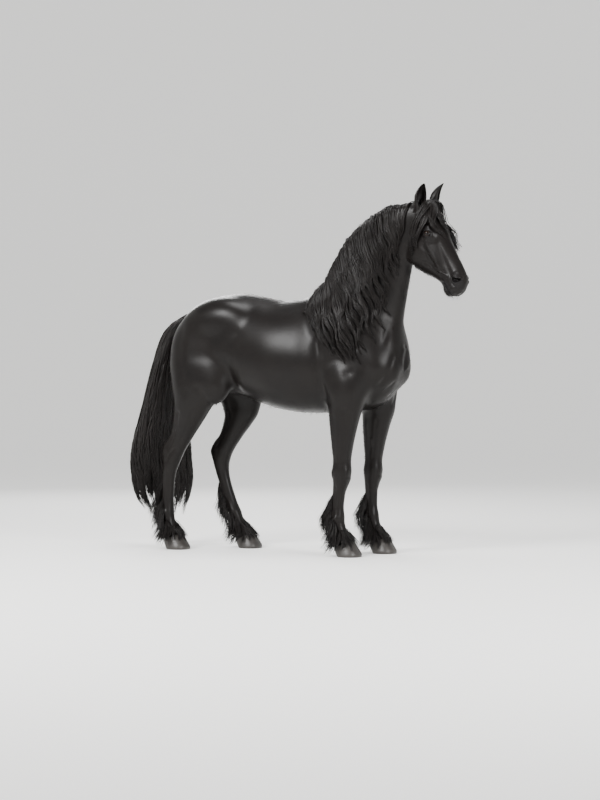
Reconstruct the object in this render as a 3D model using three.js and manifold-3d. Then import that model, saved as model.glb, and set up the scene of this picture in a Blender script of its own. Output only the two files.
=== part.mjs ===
// A Friesian horse standing square on four feathered legs, its head turned a little to its right.
// Life size, in millimetres: +X is forward, +Y is the horse's left and +Z is up. The soles stand on z = 0.
// The flesh is one smooth field of sections and muscles. Each solid is a loft whose points lie on that field.

import * as THREE from "three";
import { mergeVertices } from "three/addons/utils/BufferGeometryUtils.js";
import Module from "manifold-3d";

const wasm = await Module();
wasm.setup();

// Driving dimensions
const GAP = 0.35; // kept between two nodes that touch
const POLL = [908, -52, 2128]; // top of the skull between the ears
const HEAD_TURN = 14; // degrees that the head turns to the horse's right
const FACE_SLOPE = 29; // degrees between the head's long axis and the vertical
const NECK_BASE = [430, 0, 1330];
const NECK_SLOPE = 60.2; // degrees that the neck rises above the horizontal
const FORE_WIDTH = 162; // from the middle plane to a fore leg
const HIND_WIDTH = 150; // from the middle plane to a hind leg
const HOOF_LENGTH = 168;
const HOOF_WIDTH = 152;
const CORONET = 98; // height of the hoof's upper rim in front
const EYEBALL = 25; // radius
const FILLET = 38; // how far a loft may swell to meet a blend with its neighbour

const rad = THREE.MathUtils.degToRad;
const clamp = THREE.MathUtils.clamp;
const mix = THREE.MathUtils.lerp;

// Smooth monotone curves through the columns of rows. The first column is the key, in rising order.
function curves(rows) {
  const keys = rows.map((row) => row[0]);
  const slopes = rows[0].slice(1).map((_, c) => {
    const rise = (i) => (rows[i + 1][c + 1] - rows[i][c + 1]) / (keys[i + 1] - keys[i]);
    const last = rows.length - 2;
    return rows.map((_, i) => {
      const before = rise(clamp(i - 1, 0, last));
      const after = rise(clamp(i, 0, last));
      return before * after > 0 ? (2 * before * after) / (before + after) : 0;
    });
  });
  return (key) => {
    const k = clamp(key, keys[0], keys[keys.length - 1]);
    let i = 0;
    while (i < keys.length - 2 && k > keys[i + 1]) i++;
    const span = keys[i + 1] - keys[i];
    const t = (k - keys[i]) / span;
    const [t2, t3] = [t * t, t * t * t];
    return slopes.map((slope, c) => {
      const [a, b] = [rows[i][c + 1], rows[i + 1][c + 1]];
      const bend = slope[i] * (t3 - 2 * t2 + t) + slope[i + 1] * (t3 - t2);
      return a * (2 * t3 - 3 * t2 + 1) + b * (3 * t2 - 2 * t3) + span * bend;
    });
  };
}

// A frame has an origin and three unit axes: along its sections, up across them, and sideways.
function frameOf(origin, along, up, side) {
  return { origin, axes: [along, up, side] };
}
const dot = (a, b) => a[0] * b[0] + a[1] * b[1] + a[2] * b[2];
const toFrame = (frame, p) => {
  const q = [p[0] - frame.origin[0], p[1] - frame.origin[1], p[2] - frame.origin[2]];
  return frame.axes.map((axis) => dot(axis, q));
};
const fromFrame = (frame, q) =>
  [0, 1, 2].map((i) => frame.origin[i] + frame.axes.reduce((sum, axis, k) => sum + axis[i] * q[k], 0));

const [cosNeck, sinNeck] = [Math.cos(rad(NECK_SLOPE)), Math.sin(rad(NECK_SLOPE))];
const [cosTurn, sinTurn] = [Math.cos(rad(HEAD_TURN)), Math.sin(rad(HEAD_TURN))];
const [cosFace, sinFace] = [Math.cos(rad(FACE_SLOPE)), Math.sin(rad(FACE_SLOPE))];
const TRUNK_FRAME = frameOf([0, 0, 0], [1, 0, 0], [0, 0, 1], [0, 1, 0]);
const LEG_FRAME = frameOf([0, 0, 0], [0, 0, 1], [1, 0, 0], [0, 1, 0]);
const NECK_FRAME = frameOf(NECK_BASE, [cosNeck, 0, sinNeck], [-sinNeck, 0, cosNeck], [0, 1, 0]);
const HEAD_FRAME = frameOf(
  POLL,
  [cosTurn * sinFace, -sinTurn * sinFace, -cosFace],
  [cosTurn * cosFace, -sinTurn * cosFace, sinFace],
  [sinTurn, cosTurn, 0],
);

// Sections: key, top, bottom, middle, half width, sideways shift, roundness above, roundness below
const TRUNK = [
  [-812, 1335, 1180, 1262, 60, 0, 2, 2],
  [-790, 1405, 1110, 1275, 120, 0, 2, 2],
  [-740, 1485, 1040, 1285, 180, 0, 2, 2],
  [-640, 1562, 1000, 1300, 228, 0, 2, 2],
  [-500, 1612, 990, 1305, 255, 0, 2.1, 2],
  [-380, 1620, 975, 1290, 262, 0, 2.1, 2],
  [-250, 1602, 930, 1250, 275, 0, 2, 2.1],
  [-60, 1568, 880, 1210, 296, 0, 1.9, 2.15],
  [100, 1582, 864, 1200, 284, 0, 1.75, 2.15],
  [200, 1594, 864, 1195, 264, 0, 1.65, 2.1],
  [330, 1585, 870, 1190, 236, 0, 1.7, 2],
  [470, 1550, 886, 1190, 205, 0, 1.8, 2],
  [590, 1480, 925, 1190, 176, 0, 2, 2],
  [675, 1390, 995, 1190, 138, 0, 2, 2],
  [722, 1310, 1065, 1190, 92, 0, 2, 2],
  [740, 1250, 1130, 1190, 50, 0, 2, 2],
];
const NECK = [
  [-60, 330, -270, 0, 185, 0, 1.8, 2],
  [95, 352, -280, 20, 182, 0, 1.7, 2],
  [233, 342, -210, 50, 150, -2, 1.65, 2],
  [375, 348, -163, 75, 122, -9, 1.65, 2],
  [465, 346, -136, 90, 108, -17, 1.65, 2],
  [598, 306, -100, 95, 96, -30, 1.7, 2],
  [700, 248, -72, 85, 88, -40, 1.75, 2],
  [790, 178, -50, 60, 78, -47, 1.8, 2],
  [860, 104, -38, 32, 64, -51, 2, 2],
  [905, 50, -18, 14, 40, -53, 2, 2],
];
const HEAD = [
  [-8, -20, -90, -55, 40, 0, 2, 2],
  [10, 6, -140, -60, 62, 0, 2, 2],
  [58, 30, -198, -70, 80, 0, 2.2, 2],
  [124, 43, -246, -80, 88, 0, 2.4, 2],
  [208, 47, -266, -88, 88, 0, 2.5, 2],
  [284, 46, -258, -88, 80, 0, 2.3, 2],
  [358, 47, -216, -72, 67, 0, 2.2, 2],
  [424, 49, -166, -55, 57, 0, 2.1, 2],
  [490, 50, -133, -45, 53, 0, 2.1, 2],
  [532, 47, -128, -45, 54, 0, 2.1, 2.1],
  [570, 27, -116, -48, 48, 0, 2, 2],
  [594, -2, -92, -52, 33, 0, 2, 2],
  [604, -28, -72, -54, 18, 0, 2, 2],
];
// Leg sections: height, reach in front of the leg's line, reach behind it, half width
const FORE = [
  [30, 50, 58, 56],
  [78, 54, 54, 55],
  [110, 48, 50, 48],
  [150, 40, 44, 40],
  [200, 40, 46, 40],
  [235, 44, 54, 43],
  [265, 41, 51, 39],
  [300, 38, 46, 34],
  [380, 40, 47, 36],
  [430, 49, 52, 46],
  [475, 60, 60, 54],
  [520, 61, 66, 56],
  [570, 56, 62, 53],
  [660, 66, 74, 58],
  [780, 86, 94, 70],
  [900, 108, 114, 84],
  [1000, 120, 124, 90],
  [1120, 115, 115, 84],
  [1230, 80, 80, 50],
];
const HIND = [
  [30, 50, 58, 56],
  [78, 54, 54, 55],
  [110, 48, 50, 48],
  [150, 40, 44, 41],
  [200, 41, 47, 41],
  [235, 45, 56, 44],
  [265, 42, 53, 40],
  [300, 40, 47, 36],
  [400, 41, 46, 36],
  [480, 46, 50, 40],
  [530, 54, 56, 47],
  [580, 62, 78, 50],
  [630, 68, 104, 50],
  [670, 74, 104, 51],
  [720, 80, 94, 55],
  [780, 94, 104, 64],
  [860, 118, 124, 78],
  [950, 148, 146, 92],
  [1050, 172, 160, 104],
  [1150, 180, 160, 104],
  [1270, 130, 120, 70],
];
// Each leg: its side, its hoof's x, and its line as height, x, share of the leg's width from the middle plane
const LEGS = {
  fore_right: {
    side: -1,
    width: FORE_WIDTH,
    sections: FORE,
    hoof: 438,
    line: [
      [30, 402, 1], [78, 408, 1], [110, 403, 1], [150, 391, 1], [200, 376, 1], [235, 370, 1],
      [300, 372, 1], [380, 380, 1], [475, 396, 1], [660, 405, 1.02], [780, 411, 1], [900, 420, 0.97],
      [1120, 432, 0.88], [1230, 440, 0.75],
    ],
  },
  fore_left: {
    side: 1,
    width: FORE_WIDTH,
    sections: FORE,
    hoof: 520,
    line: [
      [30, 484, 1], [78, 490, 1], [110, 484, 1], [150, 470, 1], [200, 453, 1], [235, 445, 1],
      [300, 441, 1], [380, 441, 1], [475, 448, 1], [660, 460, 1.02], [780, 474, 1], [900, 492, 0.97],
      [1120, 476, 0.88], [1230, 460, 0.75],
    ],
  },
  hind_right: {
    side: -1,
    width: HIND_WIDTH,
    sections: HIND,
    hoof: -782,
    line: [
      [30, -818, 1], [78, -812, 1], [110, -818, 1], [150, -830, 1], [200, -844, 1], [235, -850, 1],
      [300, -848, 1], [400, -845, 1], [480, -838, 1], [530, -828, 0.98], [580, -814, 0.96],
      [630, -793, 0.96], [720, -740, 1], [780, -706, 1.05], [860, -668, 1.12], [950, -640, 1.16],
      [1150, -636, 1.05], [1270, -640, 0.9],
    ],
  },
  hind_left: {
    side: 1,
    width: HIND_WIDTH,
    sections: HIND,
    hoof: -426,
    line: [
      [30, -462, 1], [78, -457, 1], [110, -468, 1], [150, -489, 1], [200, -516, 1], [235, -532, 1],
      [300, -558, 1], [400, -596, 1], [480, -620, 1], [530, -627, 0.98], [580, -620, 0.96],
      [630, -600, 0.96], [720, -550, 1], [780, -518, 1.05], [860, -492, 1.12], [950, -502, 1.16],
      [1050, -560, 1.12], [1150, -622, 1.05], [1270, -640, 0.9],
    ],
  },
};
// Muscles on both sides: name, centre x, y, z, radii along x, y, z, lean in degrees, softness of the blend
const MASSES = {
  shoulder_blade: [372, 152, 1362, 100, 78, 216, 40, 90],
  shoulder_point: [600, 118, 1160, 105, 92, 130, 20, 60],
  upper_arm: [440, 165, 1050, 130, 78, 140, -30, 60],
  breast: [656, 70, 1170, 84, 76, 130, 10, 45],
  hip: [-395, 180, 1462, 112, 72, 84, 0, 90],
  rump: [-530, 145, 1450, 190, 122, 120, 14, 70],
  thigh: [-640, 165, 1210, 155, 108, 240, 4, 70],
  buttock: [-748, 110, 1240, 78, 88, 190, 0, 60],
  stifle: [-500, 185, 1070, 118, 84, 150, 24, 60],
};
// Forms of the face, in the head's frame: along, up, side, radii, softness
const FACE = {
  orbit: [204, -20, 70, 52, 36, 33, 24],
  cheek: [222, -150, 50, 105, 104, 36, 30],
  cheekbone: [300, -66, 58, 105, 18, 20, 30],
  nostril: [532, -4, 38, 42, 34, 25, 20],
  upper_lip: [572, -46, 14, 36, 44, 40, 22],
  lower_lip: [548, -108, 8, 40, 26, 32, 18],
  poll_bump: [24, 4, 20, 50, 26, 46, 30],
};

// Blends two distances so that the crease between them is rounded over the width k.
function smoothMin(a, b, k) {
  const h = Math.max(k - Math.abs(a - b), 0) / k;
  return Math.min(a, b) - (h * h * k) / 4;
}

// Distance to a stack of sections. sectionAt gives top, bottom, middle, half width, shift and both roundnesses.
function stack(frame, sectionAt, first, last) {
  return (p) => {
    const [s, t, w] = toFrame(frame, p);
    const [top, bottom, middle, half, shift, roundTop, roundLow] = sectionAt(s);
    const [a, b] = [t - middle, w - shift];
    const reach = a > 0 ? top - middle : middle - bottom;
    const n = a > 0 ? roundTop : roundLow;
    const size = (Math.abs(a / reach) ** n + Math.abs(b / half) ** n) ** (1 / n);
    const r = Math.hypot(a, b);
    const out = size > 1e-6 ? r - r / size : -Math.min(reach, half);
    const past = Math.max(s - last, first - s);
    return Math.min(Math.max(out, past), 0) + Math.hypot(Math.max(out, 0), Math.max(past, 0));
  };
}

// Distance to a pair of ellipsoids, one on each side of the frame's middle plane.
function pair(frame, [x, y, z, rx, ry, rz], lean = 0) {
  const [c, s] = [Math.cos(rad(lean)), Math.sin(rad(lean))];
  return (p) => {
    const [a, b, d] = toFrame(frame, p);
    const [dx, dy, dz] = [a - x, Math.abs(d) - y, b - z];
    const q = [(c * dx + s * dz) / rx, dy / ry, (c * dz - s * dx) / rz];
    const size = Math.hypot(...q);
    const slope = Math.hypot(q[0] / rx, q[1] / ry, q[2] / rz);
    return slope > 1e-9 ? (size * (size - 1)) / slope : -Math.min(rx, ry, rz);
  };
}

// Joins fields, each with its softness, and skips one that is too far from the point to matter.
function blend(parts) {
  return (p) => {
    let sum = Infinity;
    for (const { field, soft = 1, centre, reach } of parts) {
      if (centre && Math.hypot(p[0] - centre[0], p[1] - centre[1], p[2] - centre[2]) > reach) continue;
      const value = field(p);
      sum = sum === Infinity ? value : smoothMin(sum, value, soft);
    }
    return sum;
  };
}

const trunkField = blend([
  { field: stack(TRUNK_FRAME, curves(TRUNK), TRUNK[0][0], TRUNK.at(-1)[0]) },
  ...Object.values(MASSES).map(([x, y, z, rx, ry, rz, lean, soft]) => ({
    field: pair(TRUNK_FRAME, [x, y, z, rx, ry, rz], lean),
    soft,
    centre: [x, 0, z],
    reach: Math.max(rx, ry, rz) + y + 260,
  })),
]);
const neckField = stack(NECK_FRAME, curves(NECK), NECK[0][0], NECK.at(-1)[0]);
const headField = blend([
  { field: stack(HEAD_FRAME, curves(HEAD), HEAD[0][0], HEAD.at(-1)[0]) },
  ...Object.values(FACE).map(([along, up, side, ra, ru, rs, soft]) => ({
    field: pair(HEAD_FRAME, [along, side, up, ra, rs, ru]),
    soft,
  })),
]);
const legFields = Object.fromEntries(
  Object.entries(LEGS).map(([name, leg]) => {
    const [lineAt, sizeAt] = [curves(leg.line), curves(leg.sections)];
    leg.sectionAt = (z) => {
      const [x, share] = lineAt(z);
      const [front, back, half] = sizeAt(z);
      return [x + front, x - back, x, half, leg.side * leg.width * share, 2.1, 1.9];
    };
    return [name, stack(LEG_FRAME, leg.sectionAt, leg.sections[0][0], leg.sections.at(-1)[0])];
  }),
);
const flesh = blend([
  { field: trunkField },
  { field: neckField, soft: 120, centre: [640, 0, 1700], reach: 900 },
  { field: headField, soft: 34, centre: fromFrame(HEAD_FRAME, [320, -80, 0]), reach: 620 },
  ...Object.entries(legFields).map(([name, field]) => ({
    field,
    soft: 70,
    centre: [LEGS[name].line.at(-1)[1], 0, 600],
    reach: 1000,
  })),
]);

// Turns a list of vertices and triangles into a solid, with its faces out.
function solidOf(vertices, triangles) {
  let volume = 0;
  for (const [a, b, c] of triangles) {
    const [p, q, r] = [vertices[a], vertices[b], vertices[c]];
    volume += p[0] * (q[1] * r[2] - q[2] * r[1]);
    volume += p[1] * (q[2] * r[0] - q[0] * r[2]);
    volume += p[2] * (q[0] * r[1] - q[1] * r[0]);
  }
  const order = volume < 0 ? triangles.map(([a, b, c]) => [a, c, b]) : triangles;
  const mesh = new wasm.Mesh({
    numProp: 3,
    vertProperties: new Float32Array(vertices.flat()),
    triVerts: new Uint32Array(order.flat()),
  });
  return new wasm.Manifold(mesh);
}

// Joins rings of points, each closed by its own middle point, into a solid.
function skinOver(rings, firstPoint, lastPoint) {
  const sides = rings[0].length;
  const vertices = [...rings.flat(), firstPoint, lastPoint];
  const triangles = [];
  for (let i = 0; i < rings.length - 1; i++) {
    for (let k = 0; k < sides; k++) {
      const [a, b] = [i * sides + k, i * sides + ((k + 1) % sides)];
      const [c, d] = [a + sides, b + sides];
      if (k < sides / 2) triangles.push([a, b, d], [a, d, c]);
      else triangles.push([a, b, c], [b, d, c]);
    }
  }
  const end = (rings.length - 1) * sides;
  for (let k = 0; k < sides; k++) {
    const next = (k + 1) % sides;
    triangles.push([next, k, rings.length * sides]);
    triangles.push([end + k, end + next, rings.length * sides + 1]);
  }
  return solidOf(vertices, triangles);
}

// The distance from a point inside a field to its surface along a direction.
function reachOut(field, from, direction, level = 0) {
  const at = (r) => [0, 1, 2].map((i) => from[i] + direction[i] * r);
  let outside = 0;
  while (field(at(outside)) < level && outside < 900) outside += 9;
  let inside = outside - 9;
  for (let i = 0; i < 12; i++) {
    const half = (inside + outside) / 2;
    if (field(at(half)) < level) inside = half;
    else outside = half;
  }
  return inside;
}

// A loft through sections of a stack, with its points on the field. It swells to meet the blend with its neighbours,
// and its hidden ring shrinks to end inside one of them.
function loft({ frame, sectionAt, stations, sides, field, level = 0, whole = null, hidden = null }) {
  const middleOf = (s) => {
    const [, , middle, , shift] = sectionAt(s);
    return fromFrame(frame, [s, middle, shift]);
  };
  const rings = stations.map((s) => {
    const middle = middleOf(s);
    return Array.from({ length: sides }, (_, k) => {
      const angle = (2 * Math.PI * (k + 0.5)) / sides;
      const [, up, side] = frame.axes;
      const direction = [0, 1, 2].map((i) => Math.cos(angle) * up[i] + Math.sin(angle) * side[i]);
      let r = reachOut(field, middle, direction, level);
      if (whole && s !== hidden) {
        r = clamp(reachOut(whole, middle, direction, level), r, r + FILLET);
      }
      if (s === hidden) {
        r *= 0.6;
      }
      return [0, 1, 2].map((i) => middle[i] + direction[i] * r);
    });
  });
  return skinOver(rings, middleOf(stations[0]), middleOf(stations.at(-1)));
}

// A count of even steps from one number to another
function spread(from, to, count) {
  return Array.from({ length: count }, (_, i) => mix(from, to, i / (count - 1)));
}

const geometryOf = (solid) => {
  const mesh = solid.getMesh();
  const geometry = new THREE.BufferGeometry();
  geometry.setAttribute("position", new THREE.BufferAttribute(new Float32Array(mesh.vertProperties), 3));
  geometry.setIndex(new THREE.BufferAttribute(new Uint32Array(mesh.triVerts), 1));
  geometry.computeVertexNormals();
  return geometry;
};

// A three.js geometry, placed by a matrix, as a solid.
function solidFrom(geometry, matrix = new THREE.Matrix4()) {
  const bare = new THREE.BufferGeometry();
  const source = geometry.index ? geometry.toNonIndexed() : geometry;
  bare.setAttribute("position", source.getAttribute("position").clone());
  bare.applyMatrix4(matrix);
  const merged = mergeVertices(bare, 1e-3);
  const p = merged.getAttribute("position");
  const vertices = Array.from({ length: p.count }, (_, i) => [p.getX(i), p.getY(i), p.getZ(i)]);
  const index = Array.from(merged.index.array);
  const triangles = [];
  for (let i = 0; i < index.length; i += 3) {
    const [a, b, c] = index.slice(i, i + 3);
    if (a !== b && b !== c && a !== c) triangles.push([a, b, c]);
  }
  return solidOf(vertices, triangles);
}

// A plate that parts two nodes: a thin box round a point, with a given facing.
function plate(centre, facing, size) {
  const turn = new THREE.Quaternion().setFromUnitVectors(
    new THREE.Vector3(0, 0, 1),
    new THREE.Vector3(...facing).normalize(),
  );
  const matrix = new THREE.Matrix4().compose(new THREE.Vector3(...centre), turn, new THREE.Vector3(1, 1, 1));
  return solidFrom(new THREE.BoxGeometry(size[0], size[1], GAP), matrix);
}

const largest = (solid) => solid.decompose().reduce((a, b) => (a.volume() > b.volume() ? a : b));

// The flesh in one piece
const torsoLoft = (level) =>
  loft({
    frame: TRUNK_FRAME,
    sectionAt: curves(TRUNK),
    stations: [
      -811, -797, -765, -715, -650, -570, -480, -390, -300, -180, -50, 80, 180, 265, 350, 435, 520, 600, 665,
      707, 739,
    ],
    sides: 24,
    field: trunkField,
    whole: flesh,
    level,
  });
const neckLoft = (level) =>
  loft({
    frame: NECK_FRAME,
    sectionAt: curves(NECK),
    stations: [-55, 30, 110, 190, 270, 350, 430, 510, 590, 665, 735, 795, 845, 880, 903],
    sides: 20,
    field: neckField,
    whole: flesh,
    hidden: -55,
    level,
  });
const HEAD_STATIONS = [
  -7, 6, 32, 70, 112, 150, 182, 212, 250, 296, 350, 405, 456, 496, 525, 550, 572, 590, 603.5,
];
const headLoft = (level) =>
  loft({
    frame: HEAD_FRAME,
    sectionAt: curves(HEAD),
    stations: [HEAD_STATIONS[0] - level, ...HEAD_STATIONS.slice(1, -1), HEAD_STATIONS.at(-1) + level],
    sides: 20,
    field: headField,
    level,
  });
const FORE_STATIONS = [
  31, 70, 110, 150, 195, 235, 262, 300, 350, 400, 435, 475, 520, 565, 620, 690, 770, 840, 900, 960, 1040, 1130, 1220,
];
const HIND_STATIONS = [
  31, 70, 110, 150, 195, 235, 262, 300, 370, 440, 490, 535, 580, 620, 655, 690, 735, 790, 850, 910, 980, 1060,
  1150, 1260,
];
const legLoft = (name) =>
  loft({
    frame: LEG_FRAME,
    sectionAt: LEGS[name].sectionAt,
    stations: name.startsWith("fore") ? FORE_STATIONS : HIND_STATIONS,
    sides: 14,
    field: legFields[name],
    whole: flesh,
    hidden: name.startsWith("fore") ? 1220 : 1260,
  });

const headPoint = (along, up, side) => fromFrame(HEAD_FRAME, [along, up, side]);

// A closed slab between an outer and an inner grid of points, joined round their borders.
function slab(outer, inner) {
  const [rows, columns] = [outer.length, outer[0].length];
  const vertices = [...outer.flat(), ...inner.flat()];
  const at = (i, j) => i * columns + j;
  const under = rows * columns;
  const triangles = [];
  for (let i = 0; i < rows - 1; i++) {
    for (let j = 0; j < columns - 1; j++) {
      const [a, b, c, d] = [at(i, j), at(i, j + 1), at(i + 1, j + 1), at(i + 1, j)];
      triangles.push([a, b, c], [a, c, d]);
      triangles.push([a + under, c + under, b + under], [a + under, d + under, c + under]);
    }
  }
  const border = [];
  for (let j = 0; j < columns; j++) border.push(at(0, j));
  for (let i = 1; i < rows; i++) border.push(at(i, columns - 1));
  for (let j = columns - 2; j >= 0; j--) border.push(at(rows - 1, j));
  for (let i = rows - 2; i > 0; i--) border.push(at(i, 0));
  border.forEach((a, k) => {
    const b = border[(k + 1) % border.length];
    triangles.push([b, a, a + under], [b, a + under, b + under]);
  });
  return solidOf(vertices, triangles);
}

// Ears: a curved leaf whose sides roll round into a cup that opens forward and outward.
const EAR = [
  [0, 27, 150, 8],
  [0.12, 30, 140, 8],
  [0.28, 34, 125, 6],
  [0.45, 35, 112, 5],
  [0.62, 30, 100, 4],
  [0.78, 21, 90, 3.5],
  [0.9, 11, 80, 3],
  [0.98, 3.5, 60, 2.2],
];
function ear(side, grow = 0) {
  const base = headPoint(36, -22, side * 60);
  const tip = side < 0 ? headPoint(-70, 98, -84) : headPoint(-80, 112, 100);
  const axis = new THREE.Vector3(...tip).sub(new THREE.Vector3(...base));
  const length = axis.length();
  axis.normalize();
  const open = new THREE.Vector3(...HEAD_FRAME.axes[1]).multiplyScalar(0.86);
  open.addScaledVector(new THREE.Vector3(...HEAD_FRAME.axes[2]), side * 0.5);
  open.addScaledVector(new THREE.Vector3(...HEAD_FRAME.axes[0]), 0.45);
  open.addScaledVector(axis, -open.dot(axis)).normalize();
  const across = new THREE.Vector3().crossVectors(axis, open);
  const rings = EAR.map(([t, radius, roll, thick]) => {
    const bow = 14 * Math.sin(Math.PI * t) ** 0.9;
    const centre = new THREE.Vector3(...base).addScaledVector(axis, t * length).addScaledVector(open, -bow);
    centre.addScaledVector(across, side * 5 * Math.sin(Math.PI * t));
    const point = (angle, r) => {
      const p = centre.clone();
      p.addScaledVector(open, -Math.cos(angle) * r).addScaledVector(across, Math.sin(angle) * r);
      return p.toArray();
    };
    const rim = rad(roll) + (grow * 2) / radius;
    const outside = spread(-rim, rim, 8).map((angle) => point(angle, radius + grow));
    const hollow = Math.max(radius - thick - grow, 0.8);
    const inside = spread(rim - 0.1, 0.1 - rim, 6).map((angle) => point(angle, hollow));
    return [...outside, ...inside];
  });
  const foot = new THREE.Vector3(...base).addScaledVector(axis, -16 - 3 * grow).toArray();
  const last = new THREE.Vector3(...tip).addScaledVector(axis, grow).toArray();
  return skinOver(rings, foot, last);
}

// Eyes: each ball sits in a socket, held by two lids that meet at the corners.
const eyeCentre = (side) => headPoint(206, -26, side * 82);
const ball = (centre, radius, lines, rows) =>
  solidFrom(new THREE.SphereGeometry(radius, lines, rows), new THREE.Matrix4().makeTranslation(...centre));
function lids(side) {
  const [along, up, out] = HEAD_FRAME.axes.map((axis) => new THREE.Vector3(...axis));
  out.multiplyScalar(side);
  const facing = out.clone().addScaledVector(along, 0.12).addScaledVector(up, 0.22).normalize();
  const length = along.clone().addScaledVector(up, 0.7);
  length.addScaledVector(facing, -facing.dot(length)).normalize();
  const height = new THREE.Vector3().crossVectors(facing, length);
  if (height.dot(up) < 0) height.negate();
  const centre = new THREE.Vector3(...eyeCentre(side));
  const onBall = (x, y, radius) => {
    const p = centre.clone().addScaledVector(length, x).addScaledVector(height, y);
    const depth = Math.sqrt(Math.max(radius * radius - x * x - y * y, 4));
    return p.addScaledVector(facing, depth).toArray();
  };
  const rings = Array.from({ length: 16 }, (_, k) => {
    const angle = (2 * Math.PI * k) / 16;
    const [c, s] = [Math.cos(angle), Math.sin(angle)];
    const rise = s > 0 ? 14 : 9.5;
    const inner = [21 * c, rise * s];
    const middle = [23.5 * c, (rise + 5) * s];
    const outer = [36 * c, (rise + 19) * s];
    const low = centre.clone().addScaledVector(length, outer[0]).addScaledVector(height, outer[1]);
    low.addScaledVector(facing, -6);
    return [
      onBall(inner[0], inner[1], EYEBALL + GAP + 0.4),
      onBall(inner[0] * 1.04, inner[1] * 1.08, EYEBALL + 3.4),
      onBall(middle[0], middle[1], EYEBALL + 5),
      low.toArray(),
      centre
        .clone()
        .addScaledVector(length, inner[0])
        .addScaledVector(height, inner[1])
        .addScaledVector(facing, 2)
        .toArray(),
    ];
  });
  const sides = rings[0].length;
  const vertices = rings.flat();
  const triangles = [];
  rings.forEach((_, i) => {
    const next = (i + 1) % rings.length;
    for (let k = 0; k < sides; k++) {
      const [a, b] = [i * sides + k, i * sides + ((k + 1) % sides)];
      const [c, d] = [next * sides + k, next * sides + ((k + 1) % sides)];
      triangles.push([a, b, d], [a, d, c]);
    }
  });
  return solidOf(vertices, triangles);
}

// An egg-shaped solid in the head's frame, turned in its side plane.
function egg([along, up, side], [ra, ru, rs], turn = 0) {
  const [x, y, z] = HEAD_FRAME.axes.map((axis) => new THREE.Vector3(...axis));
  const matrix = new THREE.Matrix4().makeBasis(x, y, z).setPosition(...headPoint(along, up, side));
  matrix.multiply(new THREE.Matrix4().makeRotationZ(turn)).scale(new THREE.Vector3(ra, ru, rs));
  return solidFrom(new THREE.SphereGeometry(1, 12, 8), matrix);
}

// The line of the mouth: a thin curved tongue of space, cut to a shallow depth.
function mouthCut() {
  const stations = [[474, -98], [520, -90], [565, -83], [625, -83]];
  const row = (along, up) => [-90, 90].map((side) => headPoint(along, up, side));
  const grid = (rise) => stations.map(([along, up]) => row(along, up + rise));
  return slab(grid(1.3), grid(-1.3)).subtract(headLoft(-9));
}

// Hooves: a slanted cone with a flat sole and a sloping upper rim.
const rimSlope = (CORONET - 44) / 110;
const rimNormal = new THREE.Vector3(-rimSlope, 0, 1).normalize();
const rimHeight = (leg, x) => CORONET + (x - (leg.hoof + 26)) * rimSlope;
function hoof(leg, grow = 0) {
  const y = leg.side * leg.width;
  const toe = HOOF_LENGTH / 2;
  const half = HOOF_WIDTH / 2;
  const shapes = [
    [0, -64, toe - 3, half - 3],
    [5, -68, toe, half],
    [45, -80, toe - 26, half - 9],
    [null, -88, 26, half - 15],
  ];
  const rings = shapes.map(([z, rear, front, width]) =>
    Array.from({ length: 16 }, (_, k) => {
      const angle = (2 * Math.PI * k) / 16;
      const [c, s] = [Math.cos(angle), Math.sin(angle)];
      const [middle, reach] = [(rear + front) / 2, (front - rear) / 2];
      const square = c < 0 ? 1 - 0.1 * c * c : 1;
      const x = leg.hoof + middle + (reach * square + grow) * Math.sign(c) * Math.abs(c) ** 0.85;
      const px = [x, y + (width + grow) * Math.sign(s) * Math.abs(s) ** 0.85];
      return [...px, z === null ? rimHeight(leg, x) + grow : z];
    }),
  );
  const lastX = leg.hoof - 29;
  return skinOver(rings, [leg.hoof, y, 0], [lastX, y, rimHeight(leg, lastX) + grow]);
}

// Seeded draws between two bounds
let seed = 20417;
function draw(low, high) {
  seed = (seed * 48271) % 2147483647;
  return mix(low, high, seed / 2147483647);
}

// The outward direction of a field at a point
function outOf(field, p) {
  const step = 5;
  const slope = [0, 1, 2].map((i) => {
    const [a, b] = [[...p], [...p]];
    a[i] += step;
    b[i] -= step;
    return field(a) - field(b);
  });
  return new THREE.Vector3(...slope).normalize();
}

// A flat tapered lock of hair through points, with a lens-shaped section. Its root and its tip are single points.
function lock(points, outAt, width, thickness) {
  const path = points.map((p) => new THREE.Vector3(...p));
  const rings = path.slice(1, -1).map((p, i) => {
    const t = (i + 1) / (path.length - 1);
    const along = path[i + 2].clone().sub(path[i]).normalize();
    const across = new THREE.Vector3().crossVectors(along, outAt(points[i + 1])).normalize();
    const out = new THREE.Vector3().crossVectors(across, along);
    const wide = 0.5 * width * Math.min(1, 0.45 + 2 * t) * (1 - t ** 2.4) ** 0.8;
    const thick = 0.5 * Math.max(thickness * (1 - t ** 1.5), 2);
    const spot = (a, b) => p.clone().addScaledVector(across, a).addScaledVector(out, b).toArray();
    return [spot(wide, -0.4 * thick), spot(0, thick), spot(-wide, -0.4 * thick), spot(0, -thick)];
  });
  return skinOver(rings, points[0], points.at(-1));
}
const ease = (low, high, t) => {
  const k = clamp((t - low) / (high - low), 0, 1);
  return k * k * (3 - 2 * k);
};
const together = (solids) => solids.reduce((a, b) => a.add(b));

// The right side of the neck and shoulder above a point of the middle plane.
function sideOf(x, z) {
  const start = [x, -10, z];
  if (flesh(start) > 0) return -10;
  return -10 - reachOut(flesh, start, [0, -1, 0]);
}

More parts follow.
